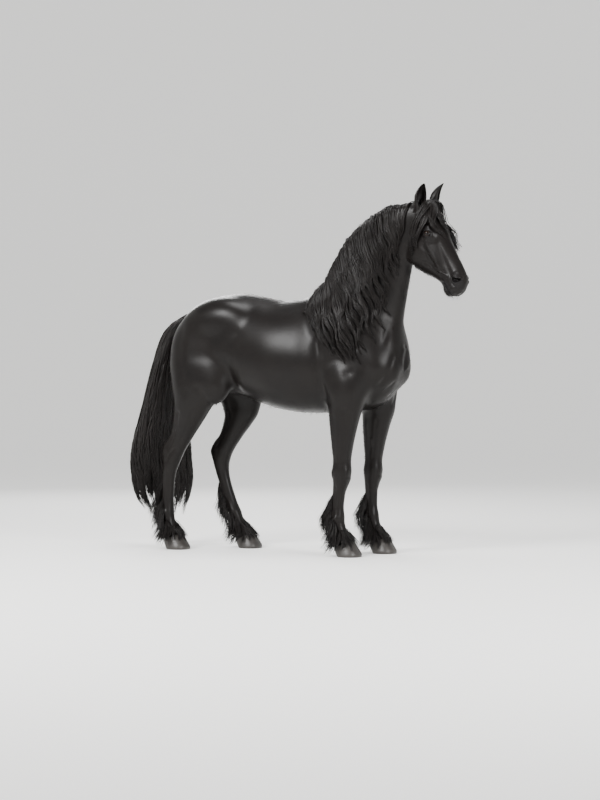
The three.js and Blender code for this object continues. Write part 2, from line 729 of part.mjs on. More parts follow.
// Mane: where a lock leaves the crest, as a distance along the neck; its tip, as x and z; and its pace along x
const MANE = [
  [-30, 165, 1480, 1.2],
  [60, 215, 1392, 1.25],
  [160, 330, 1255, 1.25],
  [290, 460, 1180, 1.25],
  [410, 540, 1182, 1.25],
  [520, 600, 1250, 1.2],
  [620, 655, 1330, 1.1],
  [710, 690, 1570, 0.95],
  [790, 728, 1720, 0.75],
  [860, 745, 1800, 0.6],
  [896, 752, 1830, 0.5],
];
const [maneAt, neckAt] = [curves(MANE), curves(NECK)];
function maneSpot(s, t, lift, reach = 1) {
  const [top] = neckAt(s);
  const crest = fromFrame(NECK_FRAME, [s, top, 0]);
  const [tipX, tipZ, pace] = maneAt(s);
  const fall = t * (1.3 - 0.3 * t) * reach;
  const x = mix(crest[0], tipX, Math.max(t * reach, 0) ** pace);
  const z = mix(crest[2], tipZ, fall);
  return [x, sideOf(x, z) - lift, z];
}

const root = new THREE.Group();
const coat = new THREE.MeshStandardMaterial({ color: 0x0d0b0b, roughness: 0.5, metalness: 0 });
const hair = new THREE.MeshStandardMaterial({ color: 0x100e0d, roughness: 0.45, metalness: 0 });
const horn = new THREE.MeshStandardMaterial({ color: 0x1d1a18, roughness: 0.4, metalness: 0 });
const eyes = new THREE.MeshStandardMaterial({ color: 0x1a0d06, roughness: 0.08, metalness: 0 });
const add = (name, solid, material) => {
  const mesh = new THREE.Mesh(geometryOf(solid), material);
  mesh.name = name;
  root.add(mesh);
};

// Parting plates: the neck from the trunk, the legs from the trunk, and each leg below its knee or hock
const NECK_CUT = [480, 0, 1417];
const cuts = [plate(NECK_CUT, NECK_FRAME.axes[0], [1000, 620])];
for (const [name, leg] of Object.entries(LEGS)) {
  const fore = name.startsWith("fore");
  if (fore) cuts.push(plate([leg.line.at(-3)[1], leg.side * 155, 905], [0, -leg.side * 0.5, 1], [380, 300]));
  else cuts.push(plate([-560, leg.side * 165, 1045], [0.25, -leg.side * 0.72, 1], [680, 345]));
  cuts.push(plate([leg.line[8][1], leg.side * leg.width, fore ? 432 : 520], [0, 0, 1], [260, 220]));
}
const whole = [torsoLoft(0), neckLoft(0), ...Object.keys(LEGS).map(legLoft)].reduce((a, b) => a.add(b));
const pieces = cuts.reduce((a, b) => a.subtract(b), whole).decompose();
const pieceAt = (point) => {
  const gap = (solid) => {
    const { min, max } = solid.boundingBox();
    return Math.hypot(...point.map((p, i) => (min[i] + max[i]) / 2 - p));
  };
  return pieces.filter((solid) => solid.volume() > 2e5).reduce((a, b) => (gap(a) < gap(b) ? a : b));
};

const trunk = pieceAt([-40, 0, 1230]);
add("torso", trunk, coat);

// Neck and mane: a low ridge of hair over the crest, and two layers of wavy locks that fall from it on the right
const headShell = headLoft(GAP);
const ridgeRow = (s, lift) => {
  const [top] = neckAt(s);
  const side = (t) => maneSpot(s, t, lift);
  const [x, , z] = fromFrame(NECK_FRAME, [s, top, 0]);
  const left = [x, 22, z + lift - 22];
  return [left, [x, -8, z + lift], side(0.06), maneSpot(s, 0.13, 0.3 * lift)];
};
const ridgeStops = spread(-34, 884, 14);
const ridge = slab(ridgeStops.map((s) => ridgeRow(s, 14)), ridgeStops.map((s) => ridgeRow(s, -14)));
function maneLock(s, { lift, width, reach, phase }) {
  const stops = [0, 0.1, 0.26, 0.44, 0.62, 0.8, 1];
  const points = stops.map((t) => {
    const wave = 10 * ease(0.1, 0.5, t) * Math.sin(phase + 7.5 * t * reach);
    const height = mix(-12, lift, ease(-0.1, 0.2, t)) * mix(1, 0.8, t);
    return maneSpot(s + wave, t, height, reach);
  });
  return lock(points, (p) => outOf(flesh, [p[0], Math.min(p[1], -20), p[2]]), width, 11);
}
const MANE_LOCKS = 12;
const maneLocks = [0, 1].flatMap((layer) =>
  spread(24, 866, MANE_LOCKS).map((s, i) =>
    maneLock(s + layer * 31, {
      lift: layer ? 31 : 13,
      width: layer ? 52 : 62,
      reach: layer ? draw(0.72, 0.98) : draw(0.93, 1.04),
      phase: 0.35 * i,
    }),
  ),
);
const neckFlesh = pieceAt([560, 0, 1750]);
const underNeck = torsoLoft(GAP)
  .add(neckLoft(GAP))
  .trimByPlane(NECK_FRAME.axes[0].map((n) => -n), -dot(NECK_FRAME.axes[0], NECK_CUT) - GAP / 2);
const maneHair = together([ridge, ...maneLocks]).subtract(underNeck);
const neck = [-1, 1].reduce(
  (solid, side) => solid.subtract(ear(side, GAP)),
  neckFlesh.add(maneHair).subtract(headShell),
);
add("neck", largest(neck), hair);

// Head, ears and eyes
let head = headLoft(0);
for (const side of [-1, 1]) {
  head = head.add(lids(side));
  head = head.subtract(egg([540, 0, side * 62], [25, 12, 18], 0.75));
}
head = head.subtract(mouthCut());

// Forelock: paths as distance along the head, angle round it from the forehead, and height over the skin
const FORELOCK = [
  [[2, -4, -12], [26, -20, 14], [66, -56, 16], [112, -96, 14], [165, -122, 12], [212, -132, 10], [252, -138, 6]],
  [[2, -2, -12], [30, -20, 18], [75, -48, 24], [125, -82, 24], [170, -106, 20], [212, -116, 16], [238, -122, 12]],
  [[4, -8, -12], [36, -24, 12], [84, -40, 14], [128, -56, 14], [160, -78, 16], [184, -94, 18], [206, -102, 16]],
  [[4, 0, -12], [34, -6, 22], [84, -16, 24], [132, -28, 20], [176, -34, 14], [214, -30, 10], [248, -18, 5]],
  [[4, 4, -12], [36, 4, 12], [90, 2, 12], [140, -4, 12], [186, -6, 10], [228, 2, 8], [270, 8, 4]],
  [[4, 8, -12], [34, 30, 13], [80, 48, 16], [128, 60, 18], [180, 60, 20], [232, 50, 24], [276, 46, 30]],
  [[2, 4, -12], [28, 38, 20], [70, 66, 26], [122, 82, 30], [182, 80, 34], [248, 62, 38], [310, 50, 44]],
  [[2, 2, -12], [24, 24, 30], [64, 46, 38], [116, 62, 42], [176, 62, 44], [240, 50, 44], [292, 42, 50]],
];
function forelockSpot([along, angle, lift]) {
  const middle = headPoint(along, -80, 0);
  const [c, s] = [Math.cos(rad(angle)), Math.sin(rad(angle))];
  const [, up, side] = HEAD_FRAME.axes;
  const direction = [0, 1, 2].map((i) => c * up[i] + s * side[i]);
  const r = reachOut(headField, middle, direction) + lift;
  return [0, 1, 2].map((i) => middle[i] + direction[i] * r);
}
const forelock = together(
  FORELOCK.map((path) => lock(path.map(forelockSpot), (p) => outOf(headField, p), 34, 10)),
);
const STEPS_ASIDE = [[GAP, 0, 0], [-GAP, 0, 0], [0, GAP, 0], [0, -GAP, 0], [0, 0, GAP], [0, 0, -GAP]];
const aroundEars = [-1, 1].flatMap((side) => STEPS_ASIDE.map((step) => ear(side, GAP).translate(step)));
head = head.add(aroundEars.reduce((hair, shape) => hair.subtract(shape), forelock));
for (const side of [-1, 1]) {
  const name = side < 0 ? "right" : "left";
  add(`ear_${name}`, largest(ear(side).subtract(headShell)), coat);
  add(`eye_${name}`, ball(eyeCentre(side), EYEBALL, 12, 8), eyes);
  head = head.subtract(ball(eyeCentre(side), EYEBALL + GAP, 12, 8));
}
add("head", largest(head), coat);

// Tail: height below zero, centre x and y, half depth, half width and turn in degrees
const TAIL = [
  [-1500, -760, 0, 40, 42, 0],
  [-1470, -804, 0, 46, 48, 0],
  [-1430, -860, 0, 54, 56, 0],
  [-1360, -918, 2, 58, 68, 2],
  [-1250, -953, 5, 62, 88, 5],
  [-1120, -976, 10, 66, 112, 9],
  [-980, -990, 16, 68, 142, 13],
  [-840, -998, 24, 68, 178, 17],
  [-700, -1004, 30, 64, 216, 20],
  [-560, -1006, 34, 58, 236, 21],
  [-430, -1000, 38, 48, 232, 21],
  [-320, -992, 40, 34, 200, 21],
  [-240, -985, 42, 20, 150, 21],
];
const tailAt = curves(TAIL);
const tailPoint = (z, angle, scale = 1) => {
  const [x, y, deep, wide, turn] = tailAt(-z);
  const [a, b] = [scale * deep * Math.cos(angle), scale * wide * Math.sin(angle)];
  const [c, s] = [Math.cos(rad(turn)), Math.sin(rad(turn))];
  return [x + a * c + b * s, y + b * c - a * s, z];
};
const tailRing = (z, scale) => Array.from({ length: 12 }, (_, k) => tailPoint(z, (2 * Math.PI * k) / 12, scale));
const TAIL_CORE = [
  [1498, 1], [1470, 1], [1430, 0.98], [1380, 0.94], [1310, 0.86], [1220, 0.78], [1110, 0.7], [1000, 0.6], [900, 0.4],
];
const tailCore = skinOver(TAIL_CORE.map(([z, scale]) => tailRing(z, scale)), [-750, 0, 1515], [-992, 22, 860]);
function tailLock(angle, from, to, { size, width, flare, phase }) {
  const stops = [0, 0.12, 0.28, 0.44, 0.6, 0.76, 0.9, 1];
  const points = stops.map((t) => {
    const scale = mix(0.45, size, ease(0, 0.2, t)) + flare * t ** 3;
    const wave = 0.06 * ease(0.1, 0.4, t) * Math.sin(phase + 8 * t);
    return tailPoint(mix(from, to, t), angle + wave, scale);
  });
  const outAt = (p) => {
    const [x, y, deep, wide, turn] = tailAt(-p[2]);
    const [c, s] = [Math.cos(rad(turn)), Math.sin(rad(turn))];
    const [a, b] = [(p[0] - x) * c - (p[1] - y) * s, (p[0] - x) * s + (p[1] - y) * c];
    const [u, v] = [a / deep ** 2, b / wide ** 2];
    return new THREE.Vector3(u * c + v * s, v * c - u * s, 0).normalize();
  };
  return lock(points, outAt, width, 14);
}
const TAIL_LOCKS = 9;
const tailLocks = [0, 1].flatMap((layer) =>
  Array.from({ length: TAIL_LOCKS }, (_, i) => {
    const angle = (2 * Math.PI * (i + 0.5 * layer)) / TAIL_LOCKS;
    const broad = Math.abs(Math.sin(angle));
    const from = layer ? draw(1330, 1390) : draw(1130, 1180);
    const to = mix(190, 262, broad) + draw(-14, 46 + 90 * layer);
    return tailLock(angle, from, to, {
      size: layer ? 1 : 0.72,
      width: layer ? 64 : 70,
      flare: layer ? 0.1 * broad : 0,
      phase: 0.9 * Math.sin(angle) + 2 * layer,
    });
  }),
);
add("tail", largest(together([tailCore, ...tailLocks]).subtract(torsoLoft(GAP))), hair);

// Feather: rows of locks round the lower leg, with the angle of each from the front
const FEATHER = [
  { from: 350, to: 130, angles: [146, 180, 214], flare: 46, width: 36 },
  { from: 270, to: 74, angles: [122, 161, 199, 238], flare: 66, width: 44 },
  { from: 195, to: 42, angles: [100, 154, 206, 260], flare: 60, width: 52 },
  { from: 145, to: 60, angles: [-40, 40], flare: 28, width: 58 },
];

// Legs, feathers and hooves
for (const [name, leg] of Object.entries(LEGS)) {
  const fore = name.startsWith("fore");
  const y = leg.side * leg.width;
  const kind = fore ? "foreleg" : "hindleg";
  const [, hand] = name.split("_");
  add(`${kind}_${hand}_upper`, pieceAt([leg.line.find(([z]) => z >= 780)[1], y, fore ? 680 : 790]), coat);
  const featherLock = ({ from, to, angle, flare, width }) => {
    const stops = [0, 0.16, 0.4, 0.66, 0.86, 1];
    const points = stops.map((t) => {
      const z = mix(from, to, t);
      const [front, rear, middle, half, shift] = leg.sectionAt(Math.max(z, 62));
      const lift = mix(-14, 9, ease(0, 0.2, t)) + flare * t ** 1.15;
      const [c, s] = [Math.cos(rad(angle)), Math.sin(rad(angle))];
      const reach = c > 0 ? front - middle : middle - rear;
      return [middle + (reach + lift) * c, shift + (half + lift) * s, z];
    });
    const out = new THREE.Vector3(Math.cos(rad(angle)), Math.sin(rad(angle)), 0);
    return lock(points, () => out, width, 9);
  };
  const feather = FEATHER.flatMap(({ from, to, angles, flare, width }) =>
    angles.map((angle) =>
      featherLock({
        from: from + draw(-12, 12),
        to: to + draw(-8, 10),
        angle: angle + draw(-4, 4),
        flare: flare * draw(0.85, 1.15),
        width,
      }),
    ),
  );
  const shank = pieceAt([curves(leg.line)(270)[0], y, 240]);
  const normal = rimNormal.toArray();
  const offset = dot(normal, [leg.hoof, 0, rimHeight(leg, leg.hoof)]) + GAP;
  const lower = together([shank.trimByPlane(normal, offset), ...feather]).subtract(hoof(leg, GAP));
  add(`${kind}_${hand}_lower`, largest(lower), hair);
  add(`hoof_${name}`, hoof(leg), horn);
}

// Set the middle of the whole on the z axis
const box = new THREE.Box3().setFromObject(root);
const middle = box.getCenter(new THREE.Vector3());
for (const mesh of root.children) mesh.geometry.translate(-middle.x, -middle.y, -box.min.z);

export default root;
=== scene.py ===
# The looks of a black Friesian horse: one skin, with mane, forelock, tail and feather as locks of hair.
# Lengths are millimetres in the horse's own frame until a mesh is made: +X is forward, +Y its left and +Z up.
import math
import bpy
import numpy as np
import openvdb
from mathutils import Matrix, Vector


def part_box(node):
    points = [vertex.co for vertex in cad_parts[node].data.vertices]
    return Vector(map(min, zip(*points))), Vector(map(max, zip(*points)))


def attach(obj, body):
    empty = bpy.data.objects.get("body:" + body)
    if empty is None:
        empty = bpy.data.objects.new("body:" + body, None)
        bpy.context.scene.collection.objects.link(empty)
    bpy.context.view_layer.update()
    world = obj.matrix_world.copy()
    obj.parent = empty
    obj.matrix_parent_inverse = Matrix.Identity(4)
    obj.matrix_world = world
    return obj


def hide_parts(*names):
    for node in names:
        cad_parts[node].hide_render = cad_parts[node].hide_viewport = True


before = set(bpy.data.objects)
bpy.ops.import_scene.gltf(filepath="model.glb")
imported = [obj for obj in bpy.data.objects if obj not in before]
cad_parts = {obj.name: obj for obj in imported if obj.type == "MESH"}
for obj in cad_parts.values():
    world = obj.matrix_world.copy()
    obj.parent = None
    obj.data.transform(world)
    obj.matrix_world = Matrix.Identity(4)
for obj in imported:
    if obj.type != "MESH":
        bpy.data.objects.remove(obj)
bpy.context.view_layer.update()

# Driving dimensions, the same as the solids have
POLL = np.array([908.0, -52.0, 2128.0])
HEAD_TURN = 14
FACE_SLOPE = 29
NECK_BASE = np.array([430.0, 0.0, 1330.0])
NECK_SLOPE = 60.2
FORE_WIDTH = 162
HIND_WIDTH = 150
HOOF_LENGTH = 168
HOOF_WIDTH = 152
CORONET = 98
EYEBALL = 25
EYE_SPOT = (206, -26, 82)
EAR_ROOT = (36, -22, 60)
EAR_TIPS = {-1: (-70, 98, -84), 1: (-80, 112, 100)}
EAR_BOW = 14
EAR_SWAY = 5
COAT_DEPTH = 3
# Hoof: how far the heel and the upper rim's two ends lie from its middle, and the rim's height behind
HEEL_REACH = 68
RIM_FRONT = 26
RIM_REAR = 87
RIM_LENGTH = 110
HEEL_HEIGHT = 44
RIM_INSET = 15
# How strongly the neck, the head and the legs blend into the body
NECK_BLEND = 120
HEAD_BLEND = 34
LEG_BLEND = 70
EAR_BLEND = 12
# The distance that a place gets where no part is near
FAR = 400.0
rng = np.random.default_rng(20417)


def unit(v):
    """Vectors with a length of one."""
    return v / np.maximum(np.linalg.norm(v, axis=-1, keepdims=True), 1e-9)


def mix(a, b, t):
    """A value on the way from a to b."""
    return a + (b - a) * t


def ease(low, high, t):
    """A soft step from 0 at low to 1 at high."""
    k = np.clip((t - low) / (high - low), 0, 1)
    return k * k * (3 - 2 * k)


def curves(rows):
    """Smooth monotone curves through the columns of rows, whose first column is the key."""
    table = np.array(rows, float)
    keys, values = table[:, 0], table[:, 1:]
    rise = np.diff(values, axis=0) / np.diff(keys)[:, None]
    before = np.vstack([rise[:1], rise])
    after = np.vstack([rise, rise[-1:]])
    flat = before * after <= 0
    slopes = np.where(flat, 0, 2 * before * after / np.where(flat, 1, before + after))

    def at(key):
        k = np.clip(np.asarray(key, float), keys[0], keys[-1])
        i = np.clip(np.searchsorted(keys, k) - 1, 0, len(keys) - 2)
        span = keys[i + 1] - keys[i]
        t = ((k - keys[i]) / span)[..., None]
        bend = slopes[i] * (t**3 - 2 * t**2 + t) + slopes[i + 1] * (t**3 - t**2)
        line = values[i] * (2 * t**3 - 3 * t**2 + 1) + values[i + 1] * (3 * t**2 - 2 * t**3)
        return line + span[..., None] * bend

    return at


class Axes:
    """A frame with an origin and three unit axes: along its sections, up across them, and sideways."""

    def __init__(self, origin, along, up, side):
        self.origin = np.array(origin, float)
        self.matrix = np.array([along, up, side], float)

    def into(self, p):
        """Points in this frame."""
        return (p - self.origin) @ self.matrix.T

    def out(self, q):
        """Points of this frame in the horse's own."""
        return self.origin + np.asarray(q, float) @ self.matrix


def cos_sin(degrees):
    return math.cos(math.radians(degrees)), math.sin(math.radians(degrees))


COS_NECK, SIN_NECK = cos_sin(NECK_SLOPE)
COS_TURN, SIN_TURN = cos_sin(HEAD_TURN)
COS_FACE, SIN_FACE = cos_sin(FACE_SLOPE)
TRUNK_AXES = Axes((0, 0, 0), (1, 0, 0), (0, 0, 1), (0, 1, 0))
LEG_AXES = Axes((0, 0, 0), (0, 0, 1), (1, 0, 0), (0, 1, 0))
NECK_AXES = Axes(NECK_BASE, (COS_NECK, 0, SIN_NECK), (-SIN_NECK, 0, COS_NECK), (0, 1, 0))
HEAD_AXES = Axes(
    POLL,
    (COS_TURN * SIN_FACE, -SIN_TURN * SIN_FACE, -COS_FACE),
    (COS_TURN * COS_FACE, -SIN_TURN * COS_FACE, SIN_FACE),
    (SIN_TURN, COS_TURN, 0),
)
# Sections: key, top, bottom, middle, half width, sideways shift, roundness above, roundness below
TRUNK = [
    [-812, 1335, 1180, 1262, 60, 0, 2, 2],
    [-790, 1405, 1110, 1275, 120, 0, 2, 2],
    [-740, 1485, 1040, 1285, 180, 0, 2, 2],
    [-640, 1562, 1000, 1300, 228, 0, 2, 2],
    [-500, 1612, 990, 1305, 255, 0, 2.1, 2],
    [-380, 1620, 975, 1290, 262, 0, 2.1, 2],
    [-250, 1602, 930, 1250, 275, 0, 2, 2.1],
    [-60, 1568, 880, 1210, 296, 0, 1.9, 2.15],
    [100, 1582, 864, 1200, 284, 0, 1.75, 2.15],
    [200, 1594, 864, 1195, 264, 0, 1.65, 2.1],
    [330, 1585, 870, 1190, 236, 0, 1.7, 2],
    [470, 1550, 886, 1190, 205, 0, 1.8, 2],
    [590, 1480, 925, 1190, 176, 0, 2, 2],
    [675, 1390, 995, 1190, 138, 0, 2, 2],
    [722, 1310, 1065, 1190, 92, 0, 2, 2],
    [740, 1250, 1130, 1190, 50, 0, 2, 2],
]
NECK = [
    [-60, 330, -270, 0, 185, 0, 1.8, 2],
    [95, 352, -280, 20, 182, 0, 1.7, 2],
    [233, 342, -210, 50, 150, -2, 1.65, 2],
    [375, 348, -163, 75, 122, -9, 1.65, 2],
    [465, 346, -136, 90, 108, -17, 1.65, 2],
    [598, 306, -100, 95, 96, -30, 1.7, 2],
    [700, 248, -72, 85, 88, -40, 1.75, 2],
    [790, 178, -50, 60, 78, -47, 1.8, 2],
    [860, 104, -38, 32, 64, -51, 2, 2],
    [905, 50, -18, 14, 40, -53, 2, 2],
]
HEAD = [
    [-8, -20, -90, -55, 40, 0, 2, 2],
    [10, 6, -140, -60, 62, 0, 2, 2],
    [58, 30, -198, -70, 80, 0, 2.2, 2],
    [124, 43, -246, -80, 88, 0, 2.4, 2],
    [208, 47, -266, -88, 88, 0, 2.5, 2],
    [284, 46, -258, -88, 80, 0, 2.3, 2],
    [358, 47, -216, -72, 67, 0, 2.2, 2],
    [424, 49, -166, -55, 57, 0, 2.1, 2],
    [490, 50, -133, -45, 53, 0, 2.1, 2],
    [532, 47, -128, -45, 54, 0, 2.1, 2.1],
    [570, 27, -116, -48, 48, 0, 2, 2],
    [594, -2, -92, -52, 33, 0, 2, 2],
    [604, -28, -72, -54, 18, 0, 2, 2],
]
# Leg sections: height, reach in front of the leg's line, reach behind it, half width
FORE = [
    [30, 50, 58, 56],
    [78, 54, 54, 55],
    [110, 48, 50, 48],
    [150, 40, 44, 40],
    [200, 40, 46, 40],
    [235, 44, 54, 43],
    [265, 41, 51, 39],
    [300, 38, 46, 34],
    [380, 40, 47, 36],
    [430, 49, 52, 46],
    [475, 60, 60, 54],
    [520, 61, 66, 56],
    [570, 56, 62, 53],
    [660, 66, 74, 58],
    [780, 86, 94, 70],
    [900, 108, 114, 84],
    [1000, 120, 124, 90],
    [1120, 115, 115, 84],
    [1230, 80, 80, 50],
]
HIND = [
    [30, 50, 58, 56],
    [78, 54, 54, 55],
    [110, 48, 50, 48],
    [150, 40, 44, 41],
    [200, 41, 47, 41],
    [235, 45, 56, 44],
    [265, 42, 53, 40],
    [300, 40, 47, 36],
    [400, 41, 46, 36],
    [480, 46, 50, 40],
    [530, 54, 56, 47],
    [580, 62, 78, 50],
    [630, 68, 104, 50],
    [670, 74, 104, 51],
    [720, 80, 94, 55],
    [780, 94, 104, 64],
    [860, 118, 124, 78],
    [950, 148, 146, 92],
    [1050, 172, 160, 104],
    [1150, 180, 160, 104],
    [1270, 130, 120, 70],
]
# Each leg: its side, its hoof's x, and its line as height, x, share of the leg's width from the middle plane
LEGS = {
    "fore_right": {
        "side": -1,
        "width": FORE_WIDTH,
        "sections": FORE,
        "hoof": 438,
        "line": [
            [30, 402, 1], [78, 408, 1], [110, 403, 1], [150, 391, 1], [200, 376, 1], [235, 370, 1],
            [300, 372, 1], [380, 380, 1], [475, 396, 1], [660, 405, 1.02], [780, 411, 1], [900, 420, 0.97],
            [1120, 432, 0.88], [1230, 440, 0.75],
        ],
    },
    "fore_left": {
        "side": 1,
        "width": FORE_WIDTH,
        "sections": FORE,
        "hoof": 520,
        "line": [
            [30, 484, 1], [78, 490, 1], [110, 484, 1], [150, 470, 1], [200, 453, 1], [235, 445, 1],
            [300, 441, 1], [380, 441, 1], [475, 448, 1], [660, 460, 1.02], [780, 474, 1], [900, 492, 0.97],
            [1120, 476, 0.88], [1230, 460, 0.75],
        ],
    },
    "hind_right": {
        "side": -1,
        "width": HIND_WIDTH,
        "sections": HIND,
        "hoof": -782,
        "line": [
            [30, -818, 1], [78, -812, 1], [110, -818, 1], [150, -830, 1], [200, -844, 1], [235, -850, 1],
            [300, -848, 1], [400, -845, 1], [480, -838, 1], [530, -828, 0.98], [580, -814, 0.96],
            [630, -793, 0.96], [720, -740, 1], [780, -706, 1.05], [860, -668, 1.12], [950, -640, 1.16],
            [1150, -636, 1.05], [1270, -640, 0.9],
        ],
    },
    "hind_left": {
        "side": 1,
        "width": HIND_WIDTH,
        "sections": HIND,
        "hoof": -426,
        "line": [
            [30, -462, 1], [78, -457, 1], [110, -468, 1], [150, -489, 1], [200, -516, 1], [235, -532, 1],
            [300, -558, 1], [400, -596, 1], [480, -620, 1], [530, -627, 0.98], [580, -620, 0.96],
            [630, -600, 0.96], [720, -550, 1], [780, -518, 1.05], [860, -492, 1.12], [950, -502, 1.16],
            [1050, -560, 1.12], [1150, -622, 1.05], [1270, -640, 0.9],
        ],
    },
}
# Muscles on both sides: centre x, y, z, radii along x, y, z, lean in degrees, softness of the blend
MASSES = {
    "shoulder_blade": [372, 152, 1362, 100, 78, 216, 40, 90],
    "shoulder_point": [600, 118, 1160, 105, 92, 130, 20, 60],
    "upper_arm": [440, 165, 1050, 130, 78, 140, -30, 60],
    "breast": [656, 70, 1170, 84, 76, 130, 10, 45],
    "hip": [-395, 180, 1462, 112, 72, 84, 0, 90],
    "rump": [-530, 145, 1450, 190, 122, 120, 14, 70],
    "thigh": [-640, 165, 1210, 155, 108, 240, 4, 70],
    "buttock": [-748, 110, 1240, 78, 88, 190, 0, 60],
    "stifle": [-500, 185, 1070, 118, 84, 150, 24, 60],
}
# Forms of the face, in the head's axes: along, up, side, radii, softness
FACE = {
    "orbit": [204, -20, 70, 52, 36, 33, 24],
    "cheek": [222, -150, 50, 105, 104, 36, 30],
    "cheekbone": [300, -66, 58, 105, 18, 20, 30],
    "nostril": [532, -4, 38, 42, 34, 25, 20],
    "upper_lip": [572, -46, 14, 36, 44, 40, 22],
    "lower_lip": [548, -108, 8, 40, 26, 32, 18],
    "poll_bump": [24, 4, 20, 50, 26, 46, 30],
}
# Ears: share of the length, radius, roll to each side in degrees, thickness
EAR = [
    [0, 27, 150, 8],
    [0.12, 30, 140, 8],
    [0.28, 34, 125, 6],
    [0.45, 35, 112, 5],
    [0.62, 30, 100, 4],
    [0.78, 21, 90, 3.5],
    [0.9, 11, 80, 3],
    [0.98, 3.5, 60, 2.2],
]
# Mane: distance along the neck, the tip's x and z, and how fast a lock moves to that x
MANE = [
    [-30, 165, 1480, 1.2],
    [60, 215, 1392, 1.25],
    [160, 330, 1255, 1.25],
    [290, 460, 1180, 1.25],
    [410, 540, 1182, 1.25],
    [520, 600, 1250, 1.2],
    [620, 655, 1330, 1.1],
    [710, 690, 1570, 0.95],
    [790, 728, 1720, 0.75],
    [860, 745, 1800, 0.6],
    [896, 752, 1830, 0.5],
]
# Forelock: paths as distance along the head, angle round it from the forehead, height over the skin
FORELOCK = [
    [(2, -4, -12), (26, -20, 14), (66, -56, 16), (112, -96, 14),
     (165, -122, 12), (212, -132, 10), (252, -138, 6)],
    [(2, -2, -12), (30, -20, 18), (75, -48, 24), (125, -82, 24),
     (170, -106, 20), (212, -116, 16), (238, -122, 12)],
    [(4, -8, -12), (36, -24, 12), (84, -40, 14), (128, -56, 14),
     (160, -78, 16), (184, -94, 18), (206, -102, 16)],
    [(4, 0, -12), (34, -6, 22), (84, -16, 24), (132, -28, 20),
     (176, -34, 14), (214, -30, 10), (248, -18, 5)],
    [(4, 4, -12), (36, 4, 12), (90, 2, 12), (140, -4, 12),
     (186, -6, 10), (228, 2, 8), (270, 8, 4)],
    [(4, 8, -12), (34, 30, 13), (80, 48, 16), (128, 60, 18),
     (180, 60, 20), (232, 50, 24), (276, 46, 30)],
    [(2, 4, -12), (28, 38, 20), (70, 66, 26), (122, 82, 30),
     (182, 80, 34), (248, 62, 38), (310, 50, 44)],
    [(2, 2, -12), (24, 24, 30), (64, 46, 38), (116, 62, 42),
     (176, 62, 44), (240, 50, 44), (292, 42, 50)],
]
# Tail: height below zero, centre x and y, half depth, half width and turn in degrees
TAIL = [
    [-1500, -760, 0, 40, 42, 0],
    [-1470, -804, 0, 46, 48, 0],
    [-1430, -860, 0, 54, 56, 0],
    [-1360, -918, 2, 58, 68, 2],
    [-1250, -953, 5, 62, 88, 5],
    [-1120, -976, 10, 66, 112, 9],
    [-980, -990, 16, 68, 142, 13],
    [-840, -998, 24, 68, 178, 17],
    [-700, -1004, 30, 64, 216, 20],
    [-560, -1006, 34, 58, 236, 21],
    [-430, -1000, 38, 48, 232, 21],
    [-320, -992, 40, 34, 200, 21],
    [-240, -985, 42, 20, 150, 21],
]


def smooth_min(a, b, k):
    """The smaller of two distances, with the crease between them rounded over the width k."""
    h = np.maximum(k - np.abs(a - b), 0) / k
    return np.minimum(a, b) - h * h * k / 4


def stack(axes, section_at, first, last):
    """Distance to a stack of sections along the first axis."""

    def field(p):
        s, t, w = axes.into(p).T
        top, bottom, middle, half, shift, round_top, round_low = section_at(s).T
        a, b = t - middle, w - shift
        reach = np.where(a > 0, top - middle, middle - bottom)
        n = np.where(a > 0, round_top, round_low)
        size = (np.abs(a / reach) ** n + np.abs(b / half) ** n) ** (1 / n)
        r = np.hypot(a, b)
        away = np.where(size > 1e-6, r - r / np.maximum(size, 1e-6), -np.minimum(reach, half))
        past = np.maximum(s - last, first - s)
        return np.minimum(np.maximum(away, past), 0) + np.hypot(np.maximum(away, 0), np.maximum(past, 0))

    return field


def pair(axes, centre, radii, lean=0):
    """Distance to a pair of ellipsoids, one on each side of the axes' middle plane."""
    c, s = cos_sin(lean)

    def field(p):
        a, b, d = axes.into(p).T
        dx, dy, dz = a - centre[0], np.abs(d) - centre[1], b - centre[2]
        q = np.array([(c * dx + s * dz) / radii[0], dy / radii[1], (c * dz - s * dx) / radii[2]])
        size = np.linalg.norm(q, axis=0)
        slope = np.linalg.norm(q / np.array(radii)[:, None], axis=0)
        return np.where(slope > 1e-9, size * (size - 1) / np.maximum(slope, 1e-9), -min(radii))

    return field


def box_round(points, margin):
    """The corners of a box round points, with a margin."""
    low, high = np.min(points, axis=0), np.max(points, axis=0)
    return low - margin, high + margin


def blend(parts, p):
    """Joins fields, each with its softness, and works one out only inside its own box."""
    total = np.full(len(p), FAR)
    low, high = p.min(axis=0), p.max(axis=0)
    for field, soft, box in parts:
        if np.any(low > box[1]) or np.any(high < box[0]):
            continue
        near = np.all((p > box[0]) & (p < box[1]), axis=1)
        if near.any():
            total[near] = smooth_min(total[near], field(p[near]), soft)
    return total


def stack_box(axes, rows, margin):
    """The corners of a box round the sections in rows."""
    corners = []
    for key, top, bottom, _, half, shift, *_ in rows:
        for up in (top, bottom):
            for side in (shift - half, shift + half):
                corners.append(axes.out((key, up, side)))
    return box_round(corners, margin)


